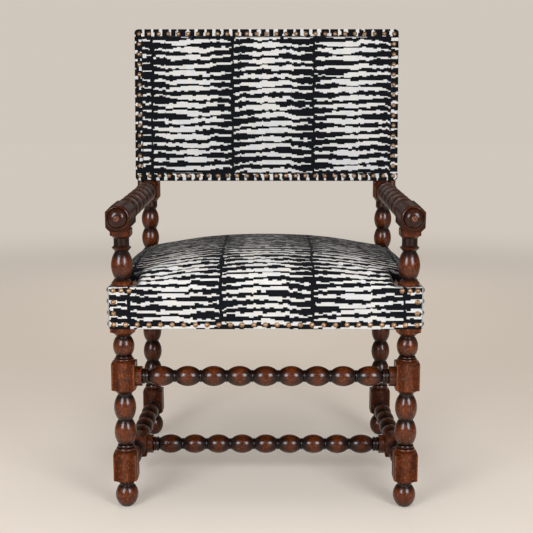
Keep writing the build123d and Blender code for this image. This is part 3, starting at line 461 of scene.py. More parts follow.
# %% [markdown]
# ## Dust cover
# A thin black cloth is tacked under the seat to catch the stuffing's dust. It sags a little in the middle
# and is cut out round the four posts, so the faces near a post's axis are left out of its grid.

# %% Dust cover
dust_sag, cut_gap = 0.002, 0.004
dust_low, dust_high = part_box("seat_dust_cover")
dust_wide, dust_deep = dust_high.x - dust_low.x, dust_high.y - dust_low.y
dx, dy = np.meshgrid(np.linspace(dust_low.x, dust_high.x, 79), np.linspace(dust_low.y, dust_high.y, 65))
drop = np.sin(math.pi * (dx - dust_low.x) / dust_wide) * np.sin(math.pi * (dy - dust_low.y) / dust_deep)
hung = np.stack([dx, dy, dust_low.z + 0.0004 - dust_sag * drop], axis=-1)


def clear_of_posts(centre):
    """True where a face lies outside the square cut-outs round the posts' axes."""
    beside = np.abs(np.abs(centre[:, 0]) - leg_x) < post_half + cut_gap
    along = np.minimum(np.abs(centre[:, 1] - front_y), np.abs(centre[:, 1] - rear_y)) < post_half + cut_gap
    return ~(beside & along)


dust_cloth = mesh_piece("dust_cloth", [(hung, np.stack([dx, dy], axis=-1), True)], keep=clear_of_posts)
areas = np.empty(len(dust_cloth.data.polygons), np.float32)
dust_cloth.data.polygons.foreach_get("area", areas)

# %% [markdown]
# ## Corner piping
# A pale cord is sewn into the upright join at each corner of the seat. It is a small round profile carried
# up the join, with a slight twist in its radius so that it reads as a covered cord and not as wire.

# %% Piping
cord_radius, cord_twist, cord_proud = 0.0011, 0.00008, 0.0002


def piping(side, end):
    """Upright tube on a rounded corner: a circle carried up the join, its radius rippled like laid cord."""
    turn = np.linspace(0, 2 * math.pi, 13)
    height = np.linspace(seat_hem + 0.001, seat_edge - 0.0015, 90)
    t, z = np.meshgrid(turn, height)
    radius = cord_radius + cord_twist * np.sin(z * 4200 + t * 2)
    reach = (corner_radius + cord_proud) / math.sqrt(2) - corner_radius
    seam_x, seam_y = side * (seat_half_x + reach), seat_mid_y + end * (seat_half_y + reach)
    tube = np.stack([seam_x + radius * np.cos(t), seam_y + radius * np.sin(t), z], axis=-1)
    return tube, np.stack([t * 0.001, z], axis=-1), False


corner_cord = mesh_piece("corner_cord", [piping(side, end) for side in (-1, 1) for end in (-1, 1)])
print("corner cord", len(corner_cord.data.vertices), "points")

# %% [markdown]
# ## Node helpers
# A shader graph is easier to read when a calculation is one line. These helpers place a node, set or link
# its inputs and hand back its output, so that a pattern can be written almost like its formula.

# %% Node helpers
class Graph:
    """Short way to write nodes into one tree."""

    def __init__(self, tree):
        self.tree = tree

    def feed(self, socket, value):
        if isinstance(value, bpy.types.NodeSocket):
            self.tree.links.new(value, socket)
        else:
            socket.default_value = value

    def feed_all(self, sockets, **values):
        """Feed sockets by name, with _ for each space."""
        for key, value in values.items():
            self.feed(sockets[key.replace("_", " ")], value)

    def filled(self, kind, values, **settings):
        """New node with its settings, and its inputs fed in order."""
        node = self.tree.nodes.new("ShaderNode" + kind)
        for key, value in settings.items():
            setattr(node, key, value)
        for socket, value in zip(node.inputs, values):
            self.feed(socket, value)
        return node

    def math(self, operation, *values, clamp=False):
        return self.filled("Math", values, operation=operation, use_clamp=clamp).outputs[0]

    def add(self, first, *others, clamp=False):
        for other in others:
            first = self.math("ADD", first, other, clamp=clamp)
        return first

    def times(self, first, *others):
        for other in others:
            first = self.math("MULTIPLY", first, other)
        return first

    def less(self, first, other):
        return self.math("SUBTRACT", first, other)

    def vector(self, operation, *values):
        return self.filled("VectorMath", values, operation=operation).outputs[0]

    def join(self, x=0.0, y=0.0, z=0.0):
        return self.filled("CombineXYZ", (x, y, z)).outputs[0]

    def split(self, value):
        return self.filled("SeparateXYZ", (value,)).outputs

    def noise(self, at, scale=1.0, detail=2.0, rough=0.5, distortion=0.0):
        node = self.tree.nodes.new("ShaderNodeTexNoise")
        self.feed_all(node.inputs, Vector=at, Scale=scale, Detail=detail, Roughness=rough, Distortion=distortion)
        return node.outputs["Fac"]

    def chance(self, at):
        return self.filled("TexWhiteNoise", (at,), noise_dimensions="3D").outputs["Value"]

    def ramp(self, value, low, high, to_low=0.0, to_high=1.0):
        values = (value, low, high, to_low, to_high)
        return self.filled("MapRange", values, interpolation_type="SMOOTHSTEP").outputs[0]

    def mix(self, amount, a, b, blend="MIX"):
        node = self.filled("Mix", (), data_type="RGBA", blend_type=blend)
        self.feed(node.inputs["Factor"], amount)
        for key, value in (("A", a), ("B", b)):
            socket = next(s for s in node.inputs if s.name == key and s.type == "RGBA")
            self.feed(socket, (*value, 1.0) if isinstance(value, tuple) and len(value) == 3 else value)
        return next(s for s in node.outputs if s.type == "RGBA")

    def bump(self, height, strength, distance):
        node = self.tree.nodes.new("ShaderNodeBump")
        self.feed_all(node.inputs, Strength=strength, Distance=distance, Height=height)
        return node.outputs["Normal"]

    def place(self, group, **values):
        node = self.filled("Group", (), node_tree=group)
        self.feed_all(node.inputs, **values)
        return node.outputs


print("node helpers:", [name for name in vars(Graph) if not name.startswith("_")])

# %% Groups and materials
def new_group(name, inputs, outputs):
    """Empty node group with named sockets; returns it with its graph, its inputs and its output node."""
    group = bpy.data.node_groups.new(name, "ShaderNodeTree")
    for label, kind, value in inputs:
        socket = group.interface.new_socket(label, in_out="INPUT", socket_type="NodeSocket" + kind)
        if value is not None:
            socket.default_value = value
    for label, kind in outputs:
        group.interface.new_socket(label, in_out="OUTPUT", socket_type="NodeSocket" + kind)
    source = group.nodes.new("NodeGroupInput")
    target = group.nodes.new("NodeGroupOutput")
    return group, Graph(group), source.outputs, target.inputs


def new_material(name, **settings):
    """Material with one Principled shader whose plain settings are written on its own sockets."""
    material = bpy.data.materials.new(name)
    material.use_nodes = True
    graph, shader = Graph(material.node_tree), material.node_tree.nodes["Principled BSDF"]
    graph.feed_all(shader.inputs, **settings)
    return material, graph, shader


def coordinate(graph, kind):
    """One output of a Texture Coordinate node."""
    return graph.tree.nodes.new("ShaderNodeTexCoord").outputs[kind]


millimetres = (1000.0, 1000.0, 1000.0)
print("patterns are worked out in millimetres, at", millimetres[0], "to the metre")

# %% [markdown]
# ## The striped weave
# The cloth is a stepped stripe: each width of pattern holds ivory lenses that are thick in the middle and run
# out to thin tips, over black. The steps come from the loom, so every edge is a smooth wander with a little
# chance at each step, rounded to whole threads. A picture of cloth could be wrapped round the seat, but a
# formula stays sharp and fits any size. One group gives the colour and the thread relief, and each cloth only
# chooses how the pattern lies on it.

# %% Weave group: where a point lies in the pattern
weave, g, given, out = new_group(
    "stepped stripe weave",
    [
        ("Cloth", "Vector", None), ("Pattern width", "Float", 180.0), ("Stripe pitch", "Float", 18.2),
        ("Thick", "Float", 6.6), ("Thin", "Float", 2.2), ("Fade", "Float", 0.0),
        ("Ivory", "Color", (0.735, 0.685, 0.62, 1)), ("Black", "Color", (0.003, 0.0034, 0.0046, 1)),
    ],
    [("Color", "Color"), ("Height", "Float")],
)
thread, tread = 2.5, 8.6  # height and shortest run of a step in the weave, in millimetres
u, v, _ = g.split(g.vector("MULTIPLY", given["Cloth"], millimetres))
wide, pitch = given["Pattern width"], given["Stripe pitch"]
column_at = g.add(g.math("DIVIDE", u, wide), 0.5)
column, in_column = g.math("FLOOR", column_at), g.math("FRACT", column_at)


def whole(value, size):
    """Value rounded to a whole number of `size`."""
    return g.times(g.math("ROUND", g.math("DIVIDE", value, size)), size)


def wander(at, x_rate, y, seed, reach):
    """Smooth noise along the cloth, about zero, with its swing given in millimetres; the odd factors on
    columns and stripes keep neighbours from looking alike."""
    place = g.join(g.times(at, x_rate), y, g.add(g.times(column, 5.3), seed))
    return g.times(g.less(g.noise(place, 1.0, 0.0), 0.5), reach)


shift = g.times(g.chance(g.join(column, 3.0, 9.0)), pitch)
wave = wander(whole(u, tread * 2), 0.008, 0.37, 2.0, 9.0)
rise = g.add(v, shift, whole(wave, thread))
stripe = g.math("FLOOR", g.math("DIVIDE", rise, pitch))
from_middle = g.less(rise, g.times(g.add(stripe, 0.5), pitch))
luck, luck_two = (g.chance(g.join(stripe, column, seed)) for seed in (1.0, 5.0))
step_u = whole(g.add(u, g.times(luck, tread)), tread)
print("steps of", thread, "by", tread, "mm,", len(weave.nodes), "nodes so far")

# %% Weave group: the ivory lenses
lens_power, off_side = 1.2, 0.13  # fullness of a lens, and how far its middle may stray
step_at = g.less(g.add(g.math("DIVIDE", step_u, wide), 0.5), column)
lens_at = g.add(step_at, g.times(g.less(luck_two, 0.5), off_side), clamp=True)
off_centre = g.math("ABSOLUTE", g.less(g.times(lens_at, 2.0), 1.0))
lens = g.math("POWER", g.less(1.0, g.math("POWER", off_centre, lens_power)), lens_power)
swell = g.times(g.less(given["Thick"], given["Thin"]), g.add(0.78, g.times(luck_two, 0.44)))
half_thick = g.add(given["Thin"], g.times(lens, swell))
# On the seat's far part the ivory lenses thin out: painted shade.
half_thick = g.times(half_thick, g.less(1.0, g.times(given["Fade"], 0.46)))
sway = wander(step_u, 0.017, g.times(stripe, 3.7), 7.0, 11.0)
most = g.times(pitch, 0.45)


def edge_of_lens(lean, seed):
    """Half thickness on one side of a stripe: lens, sway and a chance at each step, in whole threads."""
    swing = wander(step_u, 0.050, g.times(stripe, 5.9), seed, 4.0)
    ragged = g.times(g.less(g.chance(g.join(step_u, stripe, seed)), 0.5), 4.0)
    loose = g.add(g.add(half_thick, g.add(swing, ragged)), g.times(sway, lean))
    return g.math("MINIMUM", whole(loose, thread), most)


upper = edge_of_lens(1.0, 11.0)
lower = g.math("MAXIMUM", edge_of_lens(-1.0, 29.0), g.less(thread, upper))
above = g.math("LESS_THAN", from_middle, upper)
below = g.math("GREATER_THAN", from_middle, g.times(lower, -1.0))
to_end = g.times(g.math("MINIMUM", in_column, g.less(1.0, in_column)), wide)
this_side = g.add(column, g.times(g.math("ROUND", column_at), 0.37))
luck_tip = g.chance(g.join(stripe, this_side, 17.0))
tip = g.math("GREATER_THAN", to_end, g.add(0.8, g.times(luck_tip, 5.0)))
print("lenses drawn,", len(weave.nodes), "nodes so far")

# %% Weave group: threads and tones
row_pitch, end_pitch = 1.7, 2.05  # weft and warp threads, in millimetres
cool_white, cream, painted_sheen_grey = (0.68, 0.66, 0.65), (0.70, 0.62, 0.52), (0.055, 0.056, 0.06)
washed_black = (0.0072, 0.008, 0.0105)


def cloth_noise(u_rate, v_rate, seed, detail, rough=0.5):
    """Noise over the cloth, with its rates along and up given per millimetre."""
    return g.noise(g.join(g.times(u, u_rate), g.times(v, v_rate), seed), 1.0, detail, rough)


# There the ivory also breaks up: rubbed wear under painted shade.
broken = g.ramp(cloth_noise(0.07, 0.22, 6.0, 2.0), 0.40, 0.58)
ivory = g.times(above, below, tip, g.less(1.0, g.times(given["Fade"], g.less(1.0, broken))))
row = g.math("ABSOLUTE", g.math("SINE", g.times(v, math.pi / row_pitch)))
end = g.math("ABSOLUTE", g.math("SINE", g.times(u, math.pi / end_pitch)))
relief = g.add(g.times(row, 0.65), g.times(end, 0.35))
slub = cloth_noise(0.06, 1.1, 0.0, 2.0)
warp_tone = cloth_noise(0.05, 0.012, 4.0, 1.0)
pale = g.mix(g.ramp(warp_tone, 0.40, 0.62, 0.0, 0.8), given["Ivory"], cool_white)
pale = g.mix(g.ramp(warp_tone, 0.60, 0.75, 0.0, 0.7), pale, cream)
# There the pale tone turns grey in patches: a painted sheen.
haze = cloth_noise(0.030, 0.055, 8.0, 3.0, 0.6)
pale = g.mix(g.times(given["Fade"], g.ramp(haze, 0.40, 0.62, 0.25, 0.95)), pale, painted_sheen_grey)
dark = g.mix(g.ramp(slub, 0.35, 0.8), given["Black"], washed_black)
shade = g.add(0.82, g.times(relief, 0.20), g.times(g.less(slub, 0.5), 0.20))
tone = g.mix(1.0, g.mix(ivory, dark, pale), g.join(shade, shade, shade), blend="MULTIPLY")
g.feed_all(out, Color=tone, Height=g.add(relief, g.times(slub, 0.5)))
print("weave group", len(weave.nodes), "nodes")

# %% [markdown]
# ## Cloths
# The seat, the back and the trim are one fabric in three layouts, so each places the weave group with its own
# pitch and width. On its far part the seat's stripes are rubbed and broken, and painted shade with a grey painted
# sheen darkens them; round the posts, where the cloth is tucked into folds, painted shade makes it near black.
# A line of painted shade darkens the back beside its border. Linings, jute and cord have no figure, only a
# thread and a slightly uneven dye.

# %% Cloth helpers
# Near black, painted as shade round the seat's posts and beside the back's border.
near_black = (0.006, 0.0065, 0.008)


def striped_cloth(name, **layout):
    """Cloth that shows the weave in one layout; returns it with its graph, its weave node and its shader."""
    material, graph, shader = new_material(
        name, Roughness=0.88, Specular_IOR_Level=0.14, Sheen_Weight=0.02, Sheen_Roughness=0.4
    )
    made = graph.place(weave, Cloth=coordinate(graph, "UV"), **layout)
    graph.feed_all(shader.inputs, Base_Color=made["Color"], Normal=graph.bump(made["Height"], 0.45, 0.0006))
    return material, graph, made["Color"].node, shader


def plain_cloth(name, colour, thread_size):
    """Plain woven cloth of one tone with its thread relief, for what lies behind and below."""
    material, graph, shader = new_material(name, Roughness=0.9, Specular_IOR_Level=0.2, Sheen_Weight=0.05)
    place = coordinate(graph, "Object")
    axes = graph.split(graph.vector("MULTIPLY", place, millimetres))
    x, y, z = (graph.math("ABSOLUTE", graph.math("SINE", graph.times(a, math.pi / thread_size))) for a in axes)
    weft = graph.times(graph.add(x, graph.add(y, z)), 0.4)
    dye = graph.times(graph.noise(place, 30.0, 3.0), 0.4)
    light = graph.add(graph.times(weft, 0.3), dye, 0.55)
    tone = graph.mix(1.0, colour, graph.join(light, light, light), blend="MULTIPLY")
    graph.feed_all(shader.inputs, Base_Color=tone, Normal=graph.bump(weft, 0.4, 0.0004))
    return material


black_cloth = plain_cloth("black lining", (0.034, 0.035, 0.041), 1.4)
jute_cloth = plain_cloth("jute", (0.42, 0.32, 0.2), 2.6)
cord_cloth = plain_cloth("piping cord", (0.34, 0.33, 0.32), 0.9)
print("plain cloths", [m.name for m in (black_cloth, jute_cloth, cord_cloth)])

# %% Striped cloths
seat_stripe, graph, placed, shader = striped_cloth(
    "seat stripe", Pattern_width=176.0, Stripe_pitch=15.4, Thick=5.0, Thin=1.5
)
depth = graph.split(coordinate(graph, "UV"))[1]
# The seat top's far part: rubbed wear, with painted shade and a grey painted sheen over it.
wear_and_painted_light = graph.times(graph.ramp(depth, 0.13, 0.33), graph.ramp(depth, 0.60, 0.44))
graph.feed(placed.inputs["Fade"], graph.times(wear_and_painted_light, 0.72))
# Painted shade round the posts, read from the mesh attribute: near black there.
post_fold_shade = graph.filled("Attribute", (), attribute_name="fold").outputs["Fac"]
graph.feed(shader.inputs["Base Color"], graph.mix(post_fold_shade, placed.outputs["Color"], near_black))

back_stripe, graph, placed, shader = striped_cloth(
    "back stripe", Pattern_width=187.0, Stripe_pitch=18.1, Thick=6.1, Thin=1.6
)
across, up, _ = graph.split(coordinate(graph, "UV"))
off_middle = graph.math("ABSOLUTE", graph.less(across, back_u))
off_height = graph.math("ABSOLUTE", graph.less(up, back_v + back_tall / 2))
to_edge = graph.math("MINIMUM", graph.less(back_half_x, off_middle), graph.less(back_tall / 2, off_height))
# A line of painted shade beside the border, where the trim folds over the back: near black there.
painted_border_shade = graph.ramp(to_edge, trim_wide - 0.001, trim_wide + 0.0035)
graph.feed(shader.inputs["Base Color"], graph.mix(painted_border_shade, near_black, placed.outputs["Color"]))

trim_stripe, _, _, _ = striped_cloth("trim stripe", Pattern_width=140.0, Stripe_pitch=20.6, Thick=3.8, Thin=2.8)
print("striped cloths", [m.name for m in (seat_stripe, back_stripe, trim_stripe)])

# %% [markdown]
# ## Worn walnut
# Old turned walnut is red-brown where hands and cloths have polished it, and its bellies are lightened further by
# a painted lit middle. It is nearly black where wax and dust settle in the hollows, and painted shade deepens the
# ends of each bobbin there. It is orange on the arrises where the stain has rubbed away. On a turning all of that
# depends on how far a point lies from the turning's own axis: hollows are near it, bellies and corners far from
# it. So each material works out that distance from the object's coordinates and one group does the rest.

# %% Walnut group
walnut, g, given, out = new_group(
    "worn walnut",
    [("Grain", "Vector", None), ("Radius", "Float", 20.0), ("Place", "Vector", None), ("Handled", "Float", 0.0)],
    [("Color", "Color"), ("Roughness", "Float"), ("Gloss", "Float"), ("Height", "Float")],
)
# The third colour is rubbed red, for polished bellies and a painted lit middle.
deep_brown, mid_brown, rubbed_and_lit_red = (0.017, 0.0034, 0.0011), (0.054, 0.0104, 0.0022), (0.150, 0.0275, 0.0032)
bright_fleck, dark_fleck, dark_speck = (0.300, 0.0660, 0.0075), (0.022, 0.0056, 0.0024), (0.006, 0.0030, 0.0022)
# The first of these is near black, for dark wax in the hollows and painted shade there; the last is a dark brown
# of painted shade.
wax_and_shade_black, bare_edge, painted_shade_brown = (0.0045, 0.0016, 0.0009), (0.30, 0.080, 0.018), (0.0080, 0.0028, 0.0016)
figure = g.noise(given["Grain"], 1.0, 5.0, 0.62, 0.6)
flecks = g.noise(g.vector("MULTIPLY", given["Grain"], (5.0, 5.0, 20.0)), 1.0, 2.0, 0.55)
cloud = g.noise(given["Place"], 34.0, 3.0, 0.6)
specks = g.noise(given["Place"], 330.0, 2.0, 0.5)
ragged = g.times(g.less(g.noise(given["Place"], 90.0, 2.0, 0.5), 0.5), 3.0)
near = g.add(given["Radius"], ragged)  # distance from the turning's axis in millimetres, with an uneven border
belly = g.times(g.ramp(near, 15.5, 21.5), g.ramp(near, 25.0, 23.0, 0.45, 1.0))
# Bellies turn red and carry more bright flecks: rubbed polish, and a painted lit middle on each bobbin.
wear_and_painted_light = g.times(belly, g.ramp(cloud, 0.30, 0.66, 0.25, 1.0))
tone = g.mix(g.ramp(figure, 0.30, 0.70), deep_brown, mid_brown)
tone = g.mix(g.times(wear_and_painted_light, 0.80), tone, rubbed_and_lit_red)
tone = g.mix(g.times(g.ramp(flecks, 0.54, 0.68), g.add(0.18, g.times(belly, 0.50))), tone, bright_fleck)
tone = g.mix(g.times(g.ramp(flecks, 0.46, 0.34), 0.45), tone, dark_fleck)
tone = g.mix(g.times(g.ramp(specks, 0.61, 0.66), 0.85), tone, dark_speck)
# Nearly black towards each turning's axis: dark wax in the hollows, and painted shade at the ends of each bobbin.
tone = g.mix(g.ramp(near, 12.5, 20.0, 0.92, 0.0), tone, wax_and_shade_black)
tone = g.mix(g.ramp(near, 28.8, 31.8, 0.0, 0.62), tone, bare_edge)
# Painted shade: this input darkens the whole turning towards a dark brown.
tone = g.mix(given["Handled"], tone, painted_shade_brown)
dull = g.add(0.23, g.times(g.ramp(near, 11.0, 17.0, 1.0, 0.0), 0.12), g.ramp(near, 22.0, 25.0, 0.0, 0.20))
gloss = g.times(g.ramp(near, 22.0, 24.5, 0.90, 0.10), g.less(1.0, g.times(given["Handled"], 0.4)))
pits = g.less(g.times(cloud, 0.4), g.times(g.ramp(specks, 0.60, 0.70), 0.5))
g.feed_all(out, Color=tone, Roughness=g.add(dull, g.times(cloud, 0.14)), Gloss=gloss, Height=pits)
print("walnut group", len(walnut.nodes), "nodes")

# %% [markdown]
# ## One walnut finish for each turning
# A leg turns about an upright axis, a stretcher about a level one and an arm about one that climbs towards
# the back. Each finish therefore measures its own radius and lays its grain along its own axis. Painted shade
# darkens the arms, the side stretchers and the rear posts below the seat, and the tip of the boss on each arm
# is rubbed bright.

# %% Walnut finishes
grain_fine, grain_long = 85.0, 9.0  # how quickly the figure changes across and along the grain, per metre
face_y, tip_y = front_y - 0.038, front_y - 0.053  # just behind an arm's front face, root of the boss's tip
boss_radius, tip_colour = 18.5, (0.26, 0.085, 0.034)


def turning_radius(graph, axes, centre, climb):
    """Distance in millimetres from an axis at |x|, y and z: the root of the sum of two squares."""
    squares = []
    for axis, middle in centre.items():
        value = graph.math("ABSOLUTE", axes[axis]) if axis == "x" else axes[axis]
        value = graph.less(value, middle)
        if climb and axis == "z":
            value = graph.less(value, graph.times(graph.less(axes["y"], front_y), climb))
        squares.append(graph.times(graph.math("POWER", value, 2.0), 1e6))
    return graph.math("SQRT", graph.add(*squares))


def walnut_finish(name, along, centre, climb=0.0, painted_shade=0.0, painted_shade_to=None):
    """Walnut with its grain `along` one axis and its turning axis at `centre`, which may climb to the back;
    a painted shade darkens it, and only below a height where one is given."""
    material, graph, shader = new_material(name, Specular_IOR_Level=0.12, Coat_Roughness=0.22, Coat_IOR=1.45)
    place = coordinate(graph, "Object")
    axes = dict(zip("xyz", graph.split(place)))
    radius = turning_radius(graph, axes, centre, climb)
    if climb:
        # the boss on an arm's front face lies near the axis without being a hollow
        radius = graph.math("MAXIMUM", radius, graph.ramp(axes["y"], face_y, face_y - 0.006, 0.0, boss_radius))
    # The painted shade stops at the given height, which keeps it below the seat on the rear posts.
    if painted_shade_to:
        painted_shade = graph.ramp(axes["z"], painted_shade_to - 0.02, painted_shade_to + 0.02, painted_shade, 0.0)
    stretch = tuple(grain_long if axis == along else grain_fine for axis in "xyz")
    grain = graph.split(graph.vector("MULTIPLY", place, stretch))
    order = {"z": (0, 1, 2), "x": (1, 2, 0), "y": (2, 0, 1)}[along]
    grain = graph.join(*(grain[i] for i in order))
    made = graph.place(walnut, Grain=grain, Radius=radius, Place=place, Handled=painted_shade)
    tone = made["Color"]
    if climb:
        tone = graph.mix(graph.ramp(axes["y"], tip_y, tip_y - 0.0045, 0.0, 0.42), tone, tip_colour)
    graph.feed_all(shader.inputs, Base_Color=tone, Roughness=made["Roughness"], Coat_Weight=made["Gloss"])
    graph.feed(shader.inputs["Normal"], graph.bump(made["Height"], 0.03, 0.0006))
    return material


high_z, cross_at = middle_of("front_stretcher").z, middle_of("cross_stretcher")
arm_z, arm_climb = frame_top + 0.137, 0.018 / 0.443  # arm's axis above the seat frame, and its rise to the back
upright, low_level = {"x": leg_x, "y": front_y}, {"x": leg_x, "z": cross_at.z}
# The rear posts below the seat, the arms and the side stretchers are darkened with painted shade.
finishes = {
    "front_leg": walnut_finish("walnut front legs", "z", upright),
    "rear_post": walnut_finish("walnut rear posts", "z", {**upright, "y": rear_y}, painted_shade=0.45, painted_shade_to=0.42),
    "arm": walnut_finish("walnut arms", "y", {"x": leg_x, "z": arm_z}, climb=arm_climb, painted_shade=0.62),
    "front_stretcher": walnut_finish("walnut front stretcher", "x", {"y": front_y, "z": high_z}),
    "cross_stretcher": walnut_finish("walnut cross stretcher", "x", {"y": cross_at.y, "z": cross_at.z}),
    "side_stretcher": walnut_finish("walnut side stretchers", "y", low_level, painted_shade=0.35),
}
print("walnut finishes", list(finishes))

# %% [markdown]
# ## Dome nails, pegs and the hidden frame
# The nails are bronzed brass with an uneven patina. The pegs show the dark end grain of stained oak. The rails
# and blocks inside are plain beech that nobody sees, but a cut-away view would, so they get a planed finish.

# %% Metal, pegs and beech
bronze, graph, shader = new_material("bronzed brass", Metallic=0.85)
patina = graph.noise(coordinate(graph, "Object"), 140.0, 3.0)
cast = graph.noise(coordinate(graph, "Object"), 900.0, 2.0)
tone = graph.mix(graph.ramp(patina, 0.35, 0.65), (0.32, 0.175, 0.088), (0.60, 0.370, 0.215))
rough = graph.add(0.30, graph.times(patina, 0.25))
graph.feed_all(shader.inputs, Base_Color=tone, Roughness=rough, Normal=graph.bump(cast, 0.15, 0.0003))

peg_wood, graph, shader = new_material("peg end grain", Roughness=0.5)
rays = graph.noise(coordinate(graph, "Object"), 700.0, 3.0)
tone = graph.mix(graph.ramp(rays, 0.35, 0.65), (0.020, 0.009, 0.005), (0.085, 0.032, 0.014))
graph.feed_all(shader.inputs, Base_Color=tone, Normal=graph.bump(rays, 0.3, 0.0004))

beech, graph, shader = new_material("planed beech", Roughness=0.6)
streak = graph.noise(graph.vector("MULTIPLY", coordinate(graph, "Object"), (30.0, 30.0, 160.0)), 1.0, 4.0)
tone = graph.mix(graph.ramp(streak, 0.3, 0.7), (0.42, 0.27, 0.15), (0.60, 0.42, 0.26))
graph.feed(shader.inputs["Base Color"], tone)

steel, graph, shader = new_material("zinc steel", Metallic=1.0)
frost = graph.noise(coordinate(graph, "Object"), 600.0, 2.0)
tone = graph.mix(frost, (0.42, 0.42, 0.43), (0.6, 0.6, 0.6))
graph.feed_all(shader.inputs, Base_Color=tone, Roughness=graph.add(0.25, graph.times(frost, 0.3)))
print("metal and plain wood", [m.name for m in (bronze, peg_wood, beech, steel)])

# %% Finish the CAD pieces
by_word = {
    "nails": bronze, "pegs": peg_wood, "screws": steel, "webbing": jute_cloth, "hessian": jute_cloth,
    "stuffing": jute_cloth, "cover": black_cloth, "panel": black_cloth, "trim": black_cloth,
}


def material_for(node):
    """Material of a CAD node: a turning's own finish by its first word, else by what it is, else beech."""
    turned = (finish for key, finish in finishes.items() if node.startswith(key))
    other = (finish for word, finish in by_word.items() if word in node)
    return next(turned, None) or next(other, beech)


for name, piece in nodes.items():
    piece.data.materials.clear()
    piece.data.materials.append(material_for(name))
print("finished", len(nodes), "CAD pieces")

# %% [markdown]
# ## Putting the cloth pieces on the chair
# Each new piece takes its material, says which CAD solid it stands for, and rides on the chair's one body.

# %% Dress the chair
def dress(piece, material, slot, *stands_for):
    """Give a new piece its material and its place on the chair; `slot` is not used."""
    piece.data.materials.append(material)
    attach(piece, body)
    if stands_for:
        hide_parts(*stands_for)
    print(piece.name, "in", material.name, "for", stands_for)


dress(seat_cover_cloth, seat_stripe, "stripe", "seat_cover", "seat_stuffing")
dress(back_cover_cloth, back_stripe, "stripe", "back_cover", "back_stuffing")
for edge, strip in strips.items():
    dress(strip, trim_stripe, "trim", f"back_trim_{edge}")
dress(outer_back_cloth, black_cloth, "outer_cloth", "back_outer_panel")
dress(dust_cloth, black_cloth, "dust_cloth", "seat_dust_cover")
dress(corner_cord, cord_cloth, "stripe")

# %% [markdown]
# ## The studio floor
# The floor is a wide pale disc that fades into the air around it, so the chair can be looked at from any side
# and no edge shows. The camera sees these surroundings pale. Polish and metal see them dimmed, or a grey film
# would lie on the dark wood, and the light that they throw on the chair is weak. The Light Path node tells
# these rays apart.

# %% Floor
air_colour, floor_glow = (0.632, 0.572, 0.504), (0.222, 0.199, 0.180)
paper_tones = (0.600, 0.527, 0.445), (0.612, 0.538, 0.455)
mirrored = 0.22  # how strongly polish and metal show the surroundings
fade_from, fade_to = 1.2, 5.0  # distance over which the floor turns into air


def seen_by(graph, rest):
    """Strength of the surroundings: 1 to the camera, `mirrored` to glossy and transmitted rays, else `rest`."""
    ray = graph.tree.nodes.new("ShaderNodeLightPath").outputs
    bent = graph.add(ray["Is Glossy Ray"], ray["Is Transmission Ray"], clamp=True)
    strength = graph.add(rest, graph.times(bent, mirrored - rest))
    return graph.add(strength, graph.times(ray["Is Camera Ray"], 1.0 - rest))


reach, turn = np.append(np.linspace(0, 5, 26), np.geomspace(5.5, 30, 12)), np.linspace(0, 2 * math.pi, 65)
fr, ft = np.meshgrid(reach, turn, indexing="ij")
disc = np.stack([fr * np.cos(ft), fr * np.sin(ft), np.zeros_like(fr)], axis=-1)
floor = mesh_piece("studio_floor", [(disc, disc[..., :2], True)], weld=1e-4)
paper, graph, shader = new_material("studio paper", Roughness=0.9, Specular_IOR_Level=0.1)
place = coordinate(graph, "Object")
length = graph.filled("VectorMath", (place,), operation="LENGTH").outputs["Value"]
far = graph.ramp(length, fade_from, fade_to)
tone = graph.mix(graph.noise(place, 3.0, 2.0), *paper_tones)
tone = graph.mix(far, tone, (0.0, 0.0, 0.0))
glow = graph.mix(far, floor_glow, air_colour)
graph.feed_all(shader.inputs, Base_Color=tone, Emission_Color=glow, Emission_Strength=seen_by(graph, 0.0))
floor.data.materials.append(paper)
print("floor reaches", round(float(reach[-1]), 1), "m, facing up", floor.data.polygons[-1].normal.z > 0)

# %% [markdown]
# ## Light
# Two tall softboxes in front give every bobbin its pair of highlights. A large one overhead and one behind only
# fill the shadows, so they are kept out of reflections. All of them are soft and plain, and the pale air adds a
# little light from every side.

# %% Lights
cool, warm = (0.85, 0.92, 1.0), (1.0, 0.97, 0.93)
air_light = 0.22  # strength of the air as a light on the chair


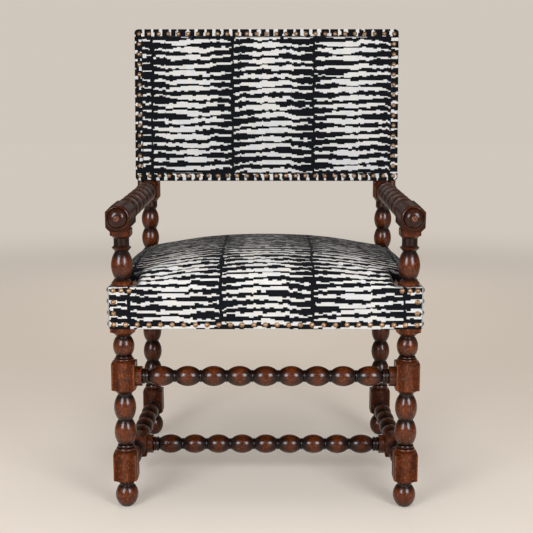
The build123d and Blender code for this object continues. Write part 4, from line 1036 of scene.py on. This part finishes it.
def softbox(name, place, aim, size, power, colour):
    """Rectangular light at a place, turned to an aim."""
    data = bpy.data.lights.new(name, "AREA")
    data.shape, data.size, data.size_y = "RECTANGLE", *size
    data.energy, data.color = power, colour
    lamp = bpy.data.objects.new(name, data)
    bpy.context.scene.collection.objects.link(lamp)
    lamp.location = place
    lamp.visible_camera = False
    run_x, run_y, run_z = np.array(aim, float) - np.array(place, float)
    lamp.rotation_euler = (math.atan2(math.hypot(run_x, run_y), -run_z), 0, math.atan2(-run_x, run_y))
    return lamp


for side, sign in (("left", -1), ("right", 1)):
    softbox(f"softbox_{side}", (sign * 1.15, -1.85, 1.10), (0, 0, 0.45), (0.74, 1.05), 31, cool)
overhead = softbox("overhead", (0, -0.6, 3.2), (0, 0, 0), (2.4, 2.0), 32, warm)
behind = softbox("softbox_behind", (0, 2.7, 1.6), (0, 0, 0.5), (2.6, 1.6), 22, warm)
overhead.visible_glossy = behind.visible_glossy = False
scene = bpy.context.scene
scene.world = bpy.data.worlds.new("studio air")
scene.world.use_nodes = True
air = scene.world.node_tree.nodes["Background"]
air.inputs["Color"].default_value = (*air_colour, 1)
graph = Graph(scene.world.node_tree)
graph.feed(air.inputs["Strength"], seen_by(graph, air_light))
scene.view_settings.view_transform = "Standard"
print("lamps", {lamp.name: lamp.energy for lamp in bpy.data.lights})

# %% [markdown]
# ## Camera
# The photograph was taken with a longish lens from a little above the arms, looking slightly down. The place
# and the lens come from fitting the chair's known points to the picture.

# %% Camera
aside, away, high = 0.0097, 1.8073, 0.7552  # from the chair's middle, the front legs' axis and the floor
look_down, look_aside = 0.15119, 0.0043  # in radians
camera_data = bpy.data.cameras.new("camera")
camera_data.sensor_width, camera_data.lens = 36.0, 64.49
camera = bpy.data.objects.new("camera", camera_data)
scene.collection.objects.link(camera)
camera.location = (aside, front_y - away, high)
camera.rotation_euler = (math.pi / 2 - look_down, 0, look_aside)
scene.camera = camera
print("camera", [round(v, 3) for v in camera.location], "lens", round(camera_data.lens, 2), "mm")
